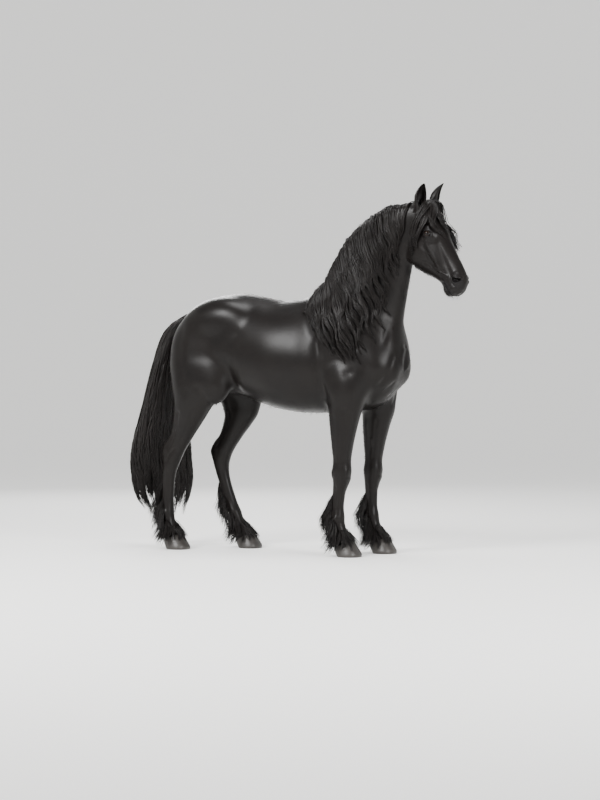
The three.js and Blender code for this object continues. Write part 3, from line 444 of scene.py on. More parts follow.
# Muscle lines of the flanks, as x and z on both sides: width, depth (a ridge has a negative one), points
SIDE_LINES = [
    (42, 6, [(-292, 1350), (-330, 1270), (-330, 1200), (-316, 1130)]),
    (30, 9, [(-372, 1180), (-352, 1085), (-330, 1010)]),
    (26, 8, [(262, 1300), (268, 1180), (282, 1050), (330, 935)]),
    (40, 6, [(250, 1480), (330, 1330), (420, 1200), (480, 1120)]),
    (34, 4, [(480, 1105), (525, 1020), (548, 950)]),
    (38, 6, [(-690, 1390), (-700, 1250), (-676, 1120), (-650, 1010)]),
    (60, 4, [(-500, 1330), (-560, 1230), (-575, 1130), (-560, 1040)]),
    (24, 5, [(-560, 1020), (-520, 960), (-500, 900)]),
    (20, 4, [(330, 1530), (420, 1400), (520, 1260)]),
]
FLANK_LINES = [(width, depth, [(x, 0, z) for x, z in points]) for width, depth, points in SIDE_LINES]
# Lines of the breast: width, depth, points in space, on both sides
BREAST_LINES = [
    (22, 9, [(735, 4, 1260), (722, 6, 1150), (690, 10, 1050), (640, 10, 980)]),
    (20, 7, [(716, 112, 1205), (690, 140, 1120), (640, 150, 1020), (590, 150, 940)]),
    (14, 5, [(700, 80, 1060), (650, 84, 970)]),
]
# Lines of the neck, in its axes: along, up, side
NECK_LINES = [
    (24, 8, [(740, -44, 72), (600, -84, 84), (420, -140, 96), (230, -180, 112), (60, -226, 130)]),
    (34, 6, [(690, 110, 70), (520, 130, 96), (330, 120, 124), (150, 90, 160)]),
    (34, 5, [(640, 20, 96), (460, 10, 118), (300, -10, 140), (140, -60, 170)]),
]
# Lines of the face, in the head's axes: along, up, side
FACE_LINES = [
    (9, -4, [(240, -58, 86), (300, -68, 76), (352, -76, 64)]),
    (15, 6, [(246, -92, 88), (310, -96, 78), (372, -92, 62)]),
    (16, 5, [(318, -150, 58), (350, -128, 60), (372, -104, 60)]),
    (15, 4.5, [(286, -4, 66), (360, -14, 56), (440, -20, 46), (492, -22, 44)]),
    (18, 9, [(146, 8, 66), (168, 14, 70), (186, 16, 70)]),
    (13, 4, [(96, -60, 84), (130, -84, 88), (150, -130, 88), (176, -190, 76)]),
    (9, 4, [(504, -22, 50), (520, -30, 52), (548, -32, 50), (572, -22, 40)]),
    (8, 3, [(452, -86, 54), (474, -96, 54), (482, -112, 48)]),
    (9, 3.5, [(492, -118, 34), (520, -122, 28), (552, -118, 22)]),
    (7, 3, [(300, -112, 70), (360, -116, 56), (430, -100, 50)]),
    (5, -2.2, [(262, -96, 88), (330, -116, 66), (400, -104, 54), (450, -70, 52), (490, -40, 50)]),
    (10, 3, [(230, 30, 40), (300, 44, 22), (420, 46, 16)]),
]
# Lines of the legs: height, forward of the leg's line, outward of it
FORE_LINES = [
    (9, 6, [(420, -16, 40), (360, -15, 38), (290, -14, 36), (250, -16, 38)]),
    (9, 6, [(420, -16, -40), (360, -15, -38), (290, -14, -36), (250, -16, -38)]),
    (7, 3, [(410, -34, 34), (340, -32, 32), (280, -34, 30)]),
    (12, 3, [(486, 58, -26), (484, 62, 0), (486, 58, 26)]),
    (9, -4, [(702, -4, -60), (670, -2, -56)]),
    (14, -4, [(516, 44, 30), (470, 42, 32)]),
    (14, -7, [(508, -58, 16), (486, -60, 12)]),
    (15, 6, [(880, 36, 80), (760, 34, 70), (660, 26, 60), (570, 22, 54)]),
    (15, 5, [(840, -44, 78), (740, -42, 68), (650, -34, 58), (570, -30, 52)]),
    (13, 5, [(820, 30, -76), (700, 26, -62), (590, 20, -54)]),
    (12, -5, [(236, 6, 44), (228, -24, 44)]),
    (10, 5, [(205, -32, 36), (190, -34, 30), (186, -44, 0), (190, -34, -30), (205, -32, -36)]),
]
HIND_LINES = [
    (9, 6, [(480, -20, 42), (400, -16, 38), (300, -15, 36), (250, -18, 38)]),
    (9, 6, [(480, -20, -42), (400, -16, -38), (300, -15, -36), (250, -18, -38)]),
    (15, 13, [(860, -62, 70), (780, -52, 60), (710, -50, 52), (660, -48, 46)]),
    (15, 13, [(860, -62, -70), (780, -52, -60), (710, -50, -52), (660, -48, -46)]),
    (15, 5, [(860, 50, 74), (760, 40, 62), (680, 30, 54)]),
    (12, -5, [(690, -92, 4), (650, -98, 4), (610, -84, 4)]),
    (12, -4, [(600, 34, 42), (560, 36, 42)]),
    (10, 4, [(640, 10, 50), (600, -6, 48), (560, -20, 46)]),
    (12, -5, [(236, 6, 45), (228, -24, 45)]),
    (10, 5, [(205, -32, 36), (190, -34, 30), (186, -44, 0), (190, -34, -30), (205, -32, -36)]),
]


# A line fades out this many of its widths from its middle
LINE_REACH = 2.6


def carve(p, lines):
    """How far lines of muscle and bone sink the surface at points."""
    sunk = np.zeros(len(p))
    for width, depth, points in lines:
        points = np.array(points, float)
        low, high = box_round(points, LINE_REACH * width)
        near = np.all((p > low) & (p < high), axis=1)
        if not near.any():
            continue
        q = p[near]
        gap = np.full(len(q), np.inf)
        for a, b in zip(points[:-1], points[1:]):
            t = np.clip((q - a) @ (b - a) / ((b - a) @ (b - a)), 0, 1)
            gap = np.minimum(gap, np.linalg.norm(q - a - t[:, None] * (b - a), axis=1))
        sunk[near] += depth * np.exp(-((gap / width) ** 2))
    return sunk


def whole_stack(axes, rows, section_at, margin):
    """The field of all the sections in rows, and its box."""
    return stack(axes, section_at, rows[0][0], rows[-1][0]), stack_box(axes, rows, margin)


# Flesh: each part as its field, the softness of its blend and its box
trunk_at, neck_at, head_at = curves(TRUNK), curves(NECK), curves(HEAD)
trunk_field, trunk_box = whole_stack(TRUNK_AXES, TRUNK, trunk_at, 170)
trunk_parts = [(trunk_field, 1, trunk_box)]
for x, y, z, rx, ry, rz, lean, soft in MASSES.values():
    reach = max(rx, ry, rz) + soft + 30
    box = (np.array([x - reach, -y - reach, z - reach]), np.array([x + reach, y + reach, z + reach]))
    trunk_parts.append((pair(TRUNK_AXES, (x, y, z), (rx, ry, rz), lean), soft, box))
head_field, head_box = whole_stack(HEAD_AXES, HEAD, head_at, 120)
head_parts = [(head_field, 1, head_box)]
for along, up, side, ra, ru, rs, soft in FACE.values():
    middles = [HEAD_AXES.out((along, up, s)) for s in (-side, side)]
    box = box_round(middles, max(ra, ru, rs) + soft + 20)
    head_parts.append((pair(HEAD_AXES, (along, side, up), (ra, rs, ru)), soft, box))
neck_field, neck_box = whole_stack(NECK_AXES, NECK, neck_at, 150)
for leg in LEGS.values():
    line_at, size_at = curves(leg["line"]), curves(leg["sections"])

    def section_at(z, line_at=line_at, size_at=size_at, leg=leg):
        x, share = line_at(z).T
        front, back, half = size_at(z).T
        shift = leg["side"] * leg["width"] * share
        return np.array([x + front, x - back, x, half, shift, 2.1 + 0 * x, 1.9 + 0 * x]).T

    leg["line_at"], leg["section_at"] = line_at, section_at
    first, last = leg["sections"][0][0], leg["sections"][-1][0]
    leg["field"] = stack(LEG_AXES, section_at, first, last)
    rows = [[z, *section_at(np.array(float(z)))] for z, *_ in leg["sections"]]
    leg["box"] = stack_box(LEG_AXES, rows, 100)
flesh_parts = [
    (lambda p: blend(trunk_parts, p), 1, (np.array([-1000, -480, 640]), np.array([920, 480, 1800]))),
    (neck_field, NECK_BLEND, neck_box),
    (lambda p: blend(head_parts, p), HEAD_BLEND, stack_box(HEAD_AXES, HEAD, 110)),
    *[(leg["field"], LEG_BLEND, leg["box"]) for leg in LEGS.values()],
]


def ear_axes(side):
    """An ear's root, length, direction, the way its cup opens, and the direction across it."""
    base = HEAD_AXES.out((EAR_ROOT[0], EAR_ROOT[1], side * EAR_ROOT[2]))
    tip = HEAD_AXES.out(EAR_TIPS[side])
    length = np.linalg.norm(tip - base)
    axis = (tip - base) / length
    along, up, out = HEAD_AXES.matrix
    faces = 0.86 * up + side * 0.5 * out + 0.45 * along
    faces = unit(faces - axis * (faces @ axis))
    return base, length, axis, faces, np.cross(axis, faces)


ear_at = curves(EAR)


def ear_bend(side, t):
    """How far an ear's middle line bows back, and sways outward, at shares of its length."""
    return EAR_BOW * np.sin(np.pi * t) ** 0.9, side * EAR_SWAY * np.sin(np.pi * t)


def ear_place(side, t, angle, radius):
    """A point of an ear at a share of its length, an angle round it from its back, and a radius."""
    base, length, axis, faces, across = ear_axes(side)
    t, angle, radius = np.broadcast_arrays(t, angle, radius)
    bow, sway = ear_bend(side, np.clip(t, 0, 1))
    return (
        base
        + axis * (t * length)[..., None]
        - faces * (bow + np.cos(angle) * radius)[..., None]
        + across * (sway + np.sin(angle) * radius)[..., None]
    )


def ear_field(side):
    """Distance to an ear: a leaf of skin whose sides roll round into a cup."""
    base, length, axis, faces, across = ear_axes(side)

    def field(p):
        q = p - base
        t = q @ axis / length
        inside = np.clip(t, 0, 1)
        radius, roll, thick = ear_at(inside).T
        bow, sway = ear_bend(side, inside)
        a, b = -(q @ faces) - bow, q @ across - sway
        half = thick / 2 + 0.9 + COAT_DEPTH
        r = np.hypot(a, b)
        rim = np.maximum(np.abs(np.arctan2(b, a)) - np.radians(roll), 0) * np.maximum(r, 4)
        wall = np.hypot(r - np.maximum(radius - thick / 2 + 1.5, 1), rim) - half
        past = np.maximum(t - 1, -t - 0.12) * length
        return np.hypot(np.maximum(wall, 0), np.maximum(past, 0)) + np.minimum(np.maximum(wall, past), 0)

    return field, box_round([base, base + axis * length], 60)


ears = {side: ear_field(side) for side in (-1, 1)}
EYES = {side: HEAD_AXES.out((EYE_SPOT[0], EYE_SPOT[1], side * EYE_SPOT[2])) for side in (-1, 1)}


def eye_axes(side):
    """The directions in which an eye looks, its corners lie and its lids open."""
    along, up, out = HEAD_AXES.matrix
    gaze = unit(side * out + 0.12 * along + 0.22 * up)
    length = along + 0.7 * up
    length = unit(length - gaze * (gaze @ length))
    height = np.cross(gaze, length)
    return gaze, length, height * (1 if height @ up > 0 else -1)


LID_LENGTH = 22
UPPER_LID = 14
LOWER_LID = 10
LID_THICK = 4.5
# Folds of the lids: past the corner, past the lid, depth, sharpness, and where they start and are full
LID_FOLDS = [(9, 10, 3.2, 20 / 3.2, -6, 6), (12, 13, 2.2, 22 / 3.6, 4, -8)]
NOSTRIL = (540, 0, 58)
NOSTRIL_TURN = 43
NOSTRIL_RADII = (25, 10.5, 26)
# The line between the lips, as distances along the head and heights
MOUTH_ALONG = (474, 520, 565, 625)
MOUTH_UP = (-98, -90, -83, -83)


def open_eyes(p, value):
    """Wraps each eyeball in its lids and opens them."""
    for side, centre in EYES.items():
        near = np.linalg.norm(p - centre, axis=1) < 75
        if not near.any():
            continue
        gaze, length, height = eye_axes(side)
        q = p[near] - centre
        x, y, depth = q @ length, q @ height, q @ gaze
        lid = np.linalg.norm(q, axis=1) - EYEBALL - LID_THICK
        whole = smooth_min(value[near], lid, 16)
        rise = np.where(y > 0, UPPER_LID, LOWER_LID)
        slit = 0.8 * (np.abs(y) - rise * (1 - (x / LID_LENGTH) ** 2))
        for longer, higher, deep, sharp, start, full in LID_FOLDS:
            fold = np.sqrt((x / (LID_LENGTH + longer)) ** 2 + (y / (rise + higher)) ** 2) - 1
            whole += deep * np.exp(-((fold * sharp) ** 2)) * ease(start, full, y)
        opening = np.where(depth > 0, slit, 20)
        value[near] = -smooth_min(-whole, opening, 2.5)
    return value


def nostrils(p, value):
    """Opens each nostril as a comma that turns in under its outer wing."""
    for side in (-1, 1):
        centre = HEAD_AXES.out((NOSTRIL[0], NOSTRIL[1], side * NOSTRIL[2]))
        near = np.linalg.norm(p - centre, axis=1) < 60
        if not near.any():
            continue
        q = HEAD_AXES.into(p[near]) - np.array([NOSTRIL[0], NOSTRIL[1], side * NOSTRIL[2]])
        c, s = cos_sin(NOSTRIL_TURN)
        x, y, z = c * q[:, 0] + s * q[:, 1], c * q[:, 1] - s * q[:, 0], q[:, 2]
        y = y - 0.012 * (x + 8) ** 2 + 3
        size = np.linalg.norm(np.column_stack([x, y, z]) / NOSTRIL_RADII, axis=1)
        hole = (size - 1) * 10
        rim = np.exp(-(((hole - 5) / 5) ** 2))
        value[near] = -smooth_min(-(value[near] - 2.2 * rim), hole, 7)
    return value


def lips_at(along):
    """How high the line between the lips lies."""
    return np.interp(along, MOUTH_ALONG, MOUTH_UP)


def mouth(p, value):
    """Sinks the line between the lips."""
    along, up, side = HEAD_AXES.into(p).T
    near = (along > 455) & (along < 640) & (up < -50) & (np.abs(side) < 90)
    if near.any():
        over = up[near] - lips_at(along[near])
        depth = 8 * ease(466, 492, along[near])
        value[near] += depth * np.exp(-((over / 4.2) ** 2))
        for lip in (-11, 11):
            value[near] -= 0.28 * depth * np.exp(-(((over - lip) / 7) ** 2))
    return value


def sunk_lines(p):
    """How far all the muscle lines sink the surface at points."""
    beside = np.abs(p[:, 1])
    sunk = carve(np.column_stack([p[:, 0], beside, p[:, 2]]), BREAST_LINES)
    sunk += carve(p * np.array([1, 0, 1]), FLANK_LINES) * ease(60, 140, beside)
    neck = NECK_AXES.into(p)
    neck[:, 2] = np.abs(neck[:, 2] - neck_at(neck[:, 0])[:, 4])
    sunk += carve(neck, NECK_LINES)
    face = HEAD_AXES.into(p)
    face[:, 2] = np.abs(face[:, 2])
    sunk += carve(face, FACE_LINES)
    for leg in LEGS.values():
        near = np.all((p > leg["box"][0]) & (p < leg["box"][1]), axis=1) & (p[:, 2] < 1000)
        if near.any():
            x, share = leg["line_at"](p[near, 2]).T
            outward = leg["side"] * (p[near, 1] - leg["side"] * leg["width"] * share)
            lines = FORE_LINES if leg["sections"] is FORE else HIND_LINES
            sunk[near] += carve(np.column_stack([p[near, 2], p[near, 0] - x, outward]), lines)
    return sunk


def skin_field(p):
    """Distance to the horse's skin, with its muscle lines, lids, nostrils, mouth and ears."""
    value = blend(flesh_parts, p)
    close = np.abs(value) < 60
    if close.any():
        value[close] += sunk_lines(p[close])
    for field, box in ears.values():
        near = np.all((p > box[0]) & (p < box[1]), axis=1)
        if near.any():
            value[near] = smooth_min(value[near], field(p[near]), EAR_BLEND)
    value = open_eyes(p, value)
    value = nostrils(p, value)
    return mouth(p, value)


def slope_of(field, p, step=1.5):
    """A field's values and its slopes at points."""
    value = field(p)
    slope = np.empty_like(p)
    for i in range(3):
        moved = p.copy()
        moved[:, i] += step
        slope[:, i] = (field(moved) - value) / step
    return value, slope


# Sampling: how far apart the samples lie at places along each axis
SAMPLES_X = [(-880, 11), (780, 11), (860, 3.6), (1230, 3.6)]
SAMPLES_Y = [
    (-340, 11), (-262, 9), (-190, 3.8), (-100, 3.8), (-86, 5.5),
    (-40, 5.5), (-24, 3.8), (66, 3.8), (110, 9), (340, 11),
]
SAMPLES_Z = [(20, 10.5), (1600, 10.5), (1660, 3.8), (2100, 3.8), (2120, 3), (2290, 3)]
FLATNESS = 0.006
SLAB = 8


def samples(stops):
    """Places along an axis, as far apart as the stops say."""
    places = [stops[0][0]]
    while places[-1] < stops[-1][0]:
        places.append(places[-1] + np.interp(places[-1], *zip(*stops)))
    return np.array(places)


def face_crosses(points, faces):
    """The cross product of two edges of each triangle."""
    corner = points[faces]
    return np.cross(corner[:, 1] - corner[:, 0], corner[:, 2] - corner[:, 0])


def skin_mesh():
    """The skin's points, triangles and directions, and the field's own samples."""
    xs, ys, zs = samples(SAMPLES_X), samples(SAMPLES_Y), samples(SAMPLES_Z)
    values = np.empty((len(xs), len(ys), len(zs)), np.float32)
    for start in range(0, len(xs), SLAB):
        part = xs[start:start + SLAB]
        grid = np.stack(np.meshgrid(part, ys, zs, indexing="ij"), axis=-1).reshape(-1, 3)
        values[start:start + SLAB] = skin_field(grid).reshape(len(part), len(ys), len(zs))
    volume = openvdb.FloatGrid(FAR)
    volume.copyFromArray(np.clip(values, -40, 40))
    points, triangles, quads = volume.convertToPolygons(-COAT_DEPTH, FLATNESS)
    faces = np.concatenate([triangles, quads[:, [0, 1, 2]], quads[:, [0, 2, 3]]]).astype(np.int64)
    p = np.column_stack([np.interp(points[:, i], np.arange(len(a)), a) for i, a in enumerate((xs, ys, zs))])
    for _ in range(3):
        value, slope = slope_of(skin_field, p)
        step = (value + COAT_DEPTH) / np.maximum((slope**2).sum(axis=1), 0.2)
        p -= np.clip(step, -4, 4)[:, None] * slope
    directions = unit(slope_of(skin_field, p)[1])
    if np.einsum("ij,ij->", face_crosses(p, faces), directions[faces[:, 0]]) < 0:
        faces = faces[:, ::-1]
    return p, faces, directions, (xs, ys, zs, values)


# The meshes, in metres in the frame's place: the solids' own shift comes from an eyeball
eye_low, eye_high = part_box("eye_right")
SHIFT = (np.array(eye_low) + np.array(eye_high)) / 2 - EYES[-1] / 1000


def placed(p):
    """Points in the frame's place."""
    return np.asarray(p) / 1000 + SHIFT


def mesh_piece(name, points, faces, material, replaced=()):
    """Makes a smooth piece of points in millimetres and of faces with equally many corners."""
    mesh = bpy.data.meshes.new(name)
    corners = faces.shape[1]
    mesh.vertices.add(len(points))
    mesh.vertices.foreach_set("co", placed(points).astype(np.float32).ravel())
    mesh.loops.add(faces.size)
    mesh.loops.foreach_set("vertex_index", faces.astype(np.int32).ravel())
    mesh.polygons.add(len(faces))
    mesh.polygons.foreach_set("loop_start", np.arange(0, faces.size, corners, dtype=np.int32))
    mesh.polygons.foreach_set("use_smooth", np.ones(len(faces), bool))
    mesh.update(calc_edges=True)
    mesh.validate()
    mesh.materials.append(material)
    piece = bpy.data.objects.new(name, mesh)
    bpy.context.scene.collection.objects.link(piece)
    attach(piece, "root")
    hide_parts(*replaced)
    return piece


def ring_faces(rows, columns):
    """The four-cornered faces between rings of points, each closed on itself."""
    index = np.arange(rows * columns).reshape(rows, columns)
    following = np.roll(index, -1, axis=1)
    return np.stack([index[:-1], index[1:], following[1:], following[:-1]], axis=-1).reshape(-1, 4)


def add_uv(piece, name, uv):
    """Gives every face corner of a piece its place in a named map."""
    layer = piece.data.uv_layers.new(name=name)
    layer.data.foreach_set("uv", np.asarray(uv, np.float32).ravel())


# The unwrap of the skin: one chart a part, as its left, width, bottom and height in the map
CHARTS = {
    "trunk": (0.02, 0.56, 0.02, 0.46),
    "neck": (0.02, 0.4, 0.52, 0.46),
    "head": (0.51, 0.47, 0.52, 0.46),
    "ear_right": (0.44, 0.05, 0.52, 0.2),
    "ear_left": (0.44, 0.05, 0.76, 0.2),
    "fore_right": (0.6, 0.08, 0.02, 0.46),
    "fore_left": (0.7, 0.08, 0.02, 0.46),
    "hind_right": (0.8, 0.08, 0.02, 0.46),
    "hind_left": (0.9, 0.08, 0.02, 0.46),
}


# Where each part starts along its axes, how long it is, and how high its middle line lies
TRUNK_START, TRUNK_LENGTH, TRUNK_MIDDLE = -900, 1680, 1230
NECK_START, NECK_LENGTH = -80, 1000
HEAD_START, HEAD_LENGTH, HEAD_MIDDLE = -20, 640, -75
LEG_LENGTH = 1300
EAR_MIDDLE = 12


def part_place(part, p):
    """Share of a part's length, and angle round it in turns, of points."""
    if part == "trunk":
        share, across, up = (p[:, 0] - TRUNK_START) / TRUNK_LENGTH, p[:, 1], p[:, 2] - TRUNK_MIDDLE
    elif part == "neck":
        q = NECK_AXES.into(p)
        middle = neck_at(q[:, 0])
        share = (q[:, 0] - NECK_START) / NECK_LENGTH
        across, up = q[:, 2] - middle[:, 4], q[:, 1] - middle[:, 2]
    elif part == "head":
        q = HEAD_AXES.into(p)
        share, across, up = (q[:, 0] - HEAD_START) / HEAD_LENGTH, q[:, 2], q[:, 1] - HEAD_MIDDLE
    elif part.startswith("ear"):
        base, length, axis, faces, sideways = ear_axes(-1 if part == "ear_right" else 1)
        q = p - base
        share, across, up = q @ axis / length, q @ sideways, -(q @ faces) - EAR_MIDDLE
    else:
        leg = LEGS[part]
        x, wide = leg["line_at"](p[:, 2]).T
        share, across, up = p[:, 2] / LEG_LENGTH, p[:, 1] - leg["side"] * leg["width"] * wide, p[:, 0] - x
    return share, np.arctan2(across, up) / (2 * np.pi)


def chart(part, along, turn):
    """Places in a part's chart of shares of its length and angles round it."""
    left, width, bottom, height = CHARTS[part]
    tall = width < height
    u, v = (turn + 0.5, along) if tall else (along, turn + 0.5)
    return np.column_stack([left + width * np.clip(u, -0.1, 1.1), bottom + height * np.clip(v, -0.04, 1.04)])


PART_FIELDS = {"trunk": flesh_parts[0][0], "neck": flesh_parts[1][0], "head": flesh_parts[2][0]}
PART_FIELDS.update({name: leg["field"] for name, leg in LEGS.items()})
PART_FIELDS.update({"ear_right": ears[-1][0], "ear_left": ears[1][0]})


def nearest_parts(p):
    """The part that lies nearest to each point, as its number in PART_FIELDS."""
    return np.argmin([field(p) for field in PART_FIELDS.values()], axis=0)


def root_places(p):
    """Each root's place in the unwrap."""
    nearest = nearest_parts(p)
    uv = np.zeros((len(p), 2))
    for i, name in enumerate(PART_FIELDS):
        chosen = nearest == i
        if chosen.any():
            uv[chosen] = chart(name, *part_place(name, p[chosen]))
    return uv


def skin_uv(points, faces):
    """The unwrap of each face corner: every face lies whole in its nearest part's chart."""
    nearest = nearest_parts(points[faces].mean(axis=1))
    uv = np.zeros((len(faces), faces.shape[1], 2))
    for i, name in enumerate(PART_FIELDS):
        chosen = np.flatnonzero(nearest == i)
        if len(chosen):
            along, turn = part_place(name, points[faces[chosen]].reshape(-1, 3))
            turn = turn.reshape(len(chosen), -1)
            turn -= np.round(turn - turn[:, :1])
            uv[chosen] = chart(name, along, turn.ravel()).reshape(len(chosen), -1, 2)
    return uv


# Locks: corners round them, their least thickness, and the size of a lock's patch in the unwrap
LOCK_SIDES = 4
THINNEST = 0.7
PATCH = 0.003


def lock_meshes(name, paths, outward, width, thickness, roots, material):
    """Joins flat tapered locks into one piece: paths are locks by stops, roots are places in the unwrap."""
    count, stops, _ = paths.shape
    t = np.linspace(0, 1, stops)[None, :]
    along = unit(np.gradient(paths, axis=1))
    across = unit(np.cross(along, outward))
    out = np.cross(across, along)
    taper = np.minimum(1, 0.5 + 2.4 * t) * (1 - t**2.6) ** 0.75 + 0.02
    wide = 0.5 * np.asarray(width)[:, None] * taper
    thick = 0.5 * np.maximum(np.asarray(thickness)[:, None] * (1 - 0.75 * t**2), THINNEST)
    thick = np.minimum(thick, wide * 0.9 + 0.15)
    angles = 2 * np.pi * np.arange(LOCK_SIDES) / LOCK_SIDES
    ring = (
        paths[:, :, None, :]
        + across[:, :, None, :] * (wide[:, :, None] * np.cos(angles))[..., None]
        + out[:, :, None, :] * (thick[:, :, None] * np.sin(angles))[..., None]
    )
    index = np.arange(count * stops * LOCK_SIDES).reshape(count, stops, LOCK_SIDES)
    following = np.roll(index, -1, axis=2)
    walls = np.stack([index[:, :-1], index[:, 1:], following[:, 1:], following[:, :-1]], axis=-1)
    faces = np.concatenate([walls.reshape(-1, 4), index[:, 0], index[:, -1, ::-1]])
    piece = mesh_piece(name, ring.reshape(-1, 3), faces, material)
    steps = np.linalg.norm(np.diff(paths, axis=1), axis=2)
    length = np.concatenate([np.zeros((count, 1)), steps.cumsum(axis=1)], axis=1)
    strand = np.empty((count, stops, LOCK_SIDES, 2))
    offset = rng.uniform(0, 60, (count, 1, 1))
    strand[..., 0] = offset + (np.cos(angles) * 0.5 + 0.5)[None, None, :] * wide[:, :1, None] / 10
    strand[..., 1] = length[:, :, None] / 1000 + offset
    add_uv(piece, "Strand", strand.reshape(-1, 2)[faces.ravel()])
    patch = np.empty((count, stops, LOCK_SIDES, 2))
    patch[..., 0] = roots[:, None, None, 0] + PATCH * (np.cos(angles) * 0.5)[None, None, :]
    patch[..., 1] = roots[:, None, None, 1] + PATCH * (t[..., None] - 0.5)
    add_uv(piece, "OFBake", patch.reshape(-1, 2)[faces.ravel()])
    return piece


class Wire:
    """A socket's value in a material, so that an expression on it adds its Math nodes."""

    def __init__(self, finish, socket):
        self.finish, self.socket = finish, socket

    def math(self, operation, first, second):
        return self.finish.node("ShaderNodeMath", {"operation": operation}, {0: first, 1: second})

    def __add__(self, other):
        return self.math("ADD", self, other)

    def __radd__(self, other):
        return self.math("ADD", other, self)

    def __sub__(self, other):
        return self.math("SUBTRACT", self, other)

    def __rsub__(self, other):
        return self.math("SUBTRACT", other, self)

    def __mul__(self, other):
        return self.math("MULTIPLY", self, other)

    def __rmul__(self, other):
        return self.math("MULTIPLY", other, self)

    def __pow__(self, other):
        return self.math("POWER", self, other)


class Finish:
    """A material and its nodes."""

    def __init__(self, name):
        self.material = bpy.data.materials.new(name)
        self.material.use_nodes = True
        self.tree = self.material.node_tree
        self.tree.nodes.clear()

    def node(self, kind, settings=None, inputs=None, output=0):
        """Adds a node with its settings, then the values or links of its sockets."""
        made = self.tree.nodes.new(kind)
        for key, value in (settings or {}).items():
            if key == "stops":
                ramp = made.color_ramp.elements
                for i, (place, colour) in enumerate(value):
                    stop = ramp[i] if i < 2 else ramp.new(place)
                    stop.position, stop.color = place, colour
            else:
                setattr(made, key, value)
        for key, value in (inputs or {}).items():
            if isinstance(value, Wire):
                self.tree.links.new(value.socket, made.inputs[key])
            else:
                made.inputs[key].default_value = value
        return Wire(self, made.outputs[output]) if made.outputs else None

    def mixed(self, factor, first, second):
        """A mix of two colours."""
        settings = {"data_type": "RGBA"}
        return self.node("ShaderNodeMix", settings, {0: factor, 6: first, 7: second}, 2)

    def noise(self, place, scale, detail=2.0):
        """A soft cloud pattern."""
        return self.node("ShaderNodeTexNoise", {}, {"Vector": place, "Scale": scale, "Detail": detail})

    def stretched(self, place, scale):
        """A place scaled along each axis, so that a pattern on it becomes hairs or rings."""
        return self.node("ShaderNodeMapping", {}, {"Vector": place, "Scale": scale})

    def shade(self, inputs):
        """Ends the material in one shader with these sockets."""
        shader = self.node("ShaderNodeBsdfPrincipled", {}, inputs)
        self.node("ShaderNodeOutputMaterial", {}, {"Surface": shader})
        return self.material


def coat_finish():
    """Short glossy black coat: fine hairs along the body, and bare skin round eyes, nose and lips."""
    f = Finish("short_black_coat")
    place = f.node("ShaderNodeTexCoord", {}, {}, "Object")
    grain = f.noise(f.stretched(place, (60, 420, 150)), 1.0, 3.0)
    swirl = f.noise(place, 5.0, 3.0)
    fine = f.noise(f.stretched(place, (180, 500, 260)), 1.0, 1.0)
    bare = f.node("ShaderNodeAttribute", {"attribute_name": "bare"}, {}, "Fac")
    pores = f.noise(place, 420.0, 2.0)
    black = f.mixed(swirl, (0.0022, 0.0021, 0.0024, 1), (0.0062, 0.0048, 0.0042, 1))
    black = f.mixed(grain * 0.5, black, (0.0095, 0.008, 0.0072, 1))
    colour = f.mixed(bare, black, (0.0075, 0.0068, 0.007, 1))
    height = (grain * 0.6 + fine * 0.4) * (1 - bare) + pores * bare * 0.5
    bump = f.node("ShaderNodeBump", {}, {"Strength": 0.3, "Distance": 0.002, "Height": height})
    return f.shade({
        "Base Color": colour,
        "Roughness": 0.28 + 0.12 * swirl + 0.12 * bare,
        "Specular IOR Level": 0.13,
        "Normal": bump,
    })


def hair_finish(name, gloss):
    """Long black hair: strands run along each lock."""
    f = Finish(name)
    strand = f.node("ShaderNodeUVMap", {"uv_map": "Strand"})
    lines = f.noise(f.stretched(strand, (6.0, 3.0, 1.0)), 1.0, 3.0)
    broad = f.noise(f.stretched(strand, (0.7, 1.4, 1.0)), 1.0, 2.0)
    colour = f.mixed(lines, (0.0018, 0.0017, 0.0019, 1), (0.0085, 0.0072, 0.0068, 1))
    colour = f.mixed(broad * 0.4, colour, (0.013, 0.0095, 0.0078, 1))
    bump = f.node("ShaderNodeBump", {}, {"Strength": 0.5, "Distance": 0.002, "Height": lines})
    return f.shade({
        "Base Color": colour,
        "Roughness": gloss + 0.16 * lines,
        "Specular IOR Level": 0.18,
        "Normal": bump,
    })


def horn_finish():
    """Dark hoof horn with growth rings and fine upright fibres."""
    f = Finish("dark_hoof_horn")
    place = f.node("ShaderNodeTexCoord", {}, {}, "Object")
    rings = f.noise(f.stretched(place, (4, 4, 130)), 1.0, 2.0)
    fibres = f.noise(f.stretched(place, (420, 420, 14)), 1.0, 2.0)
    worn = f.noise(place, 24.0, 4.0)
    colour = f.mixed(rings, (0.009, 0.008, 0.0075, 1), (0.03, 0.026, 0.023, 1))
    colour = f.mixed(worn * 0.3, colour, (0.055, 0.047, 0.04, 1))
    height = rings * 0.7 + fibres * 0.3
    bump = f.node("ShaderNodeBump", {}, {"Strength": 0.3, "Distance": 0.003, "Height": height})
    return f.shade({"Base Color": colour, "Roughness": 0.34 + 0.2 * worn, "Normal": bump})


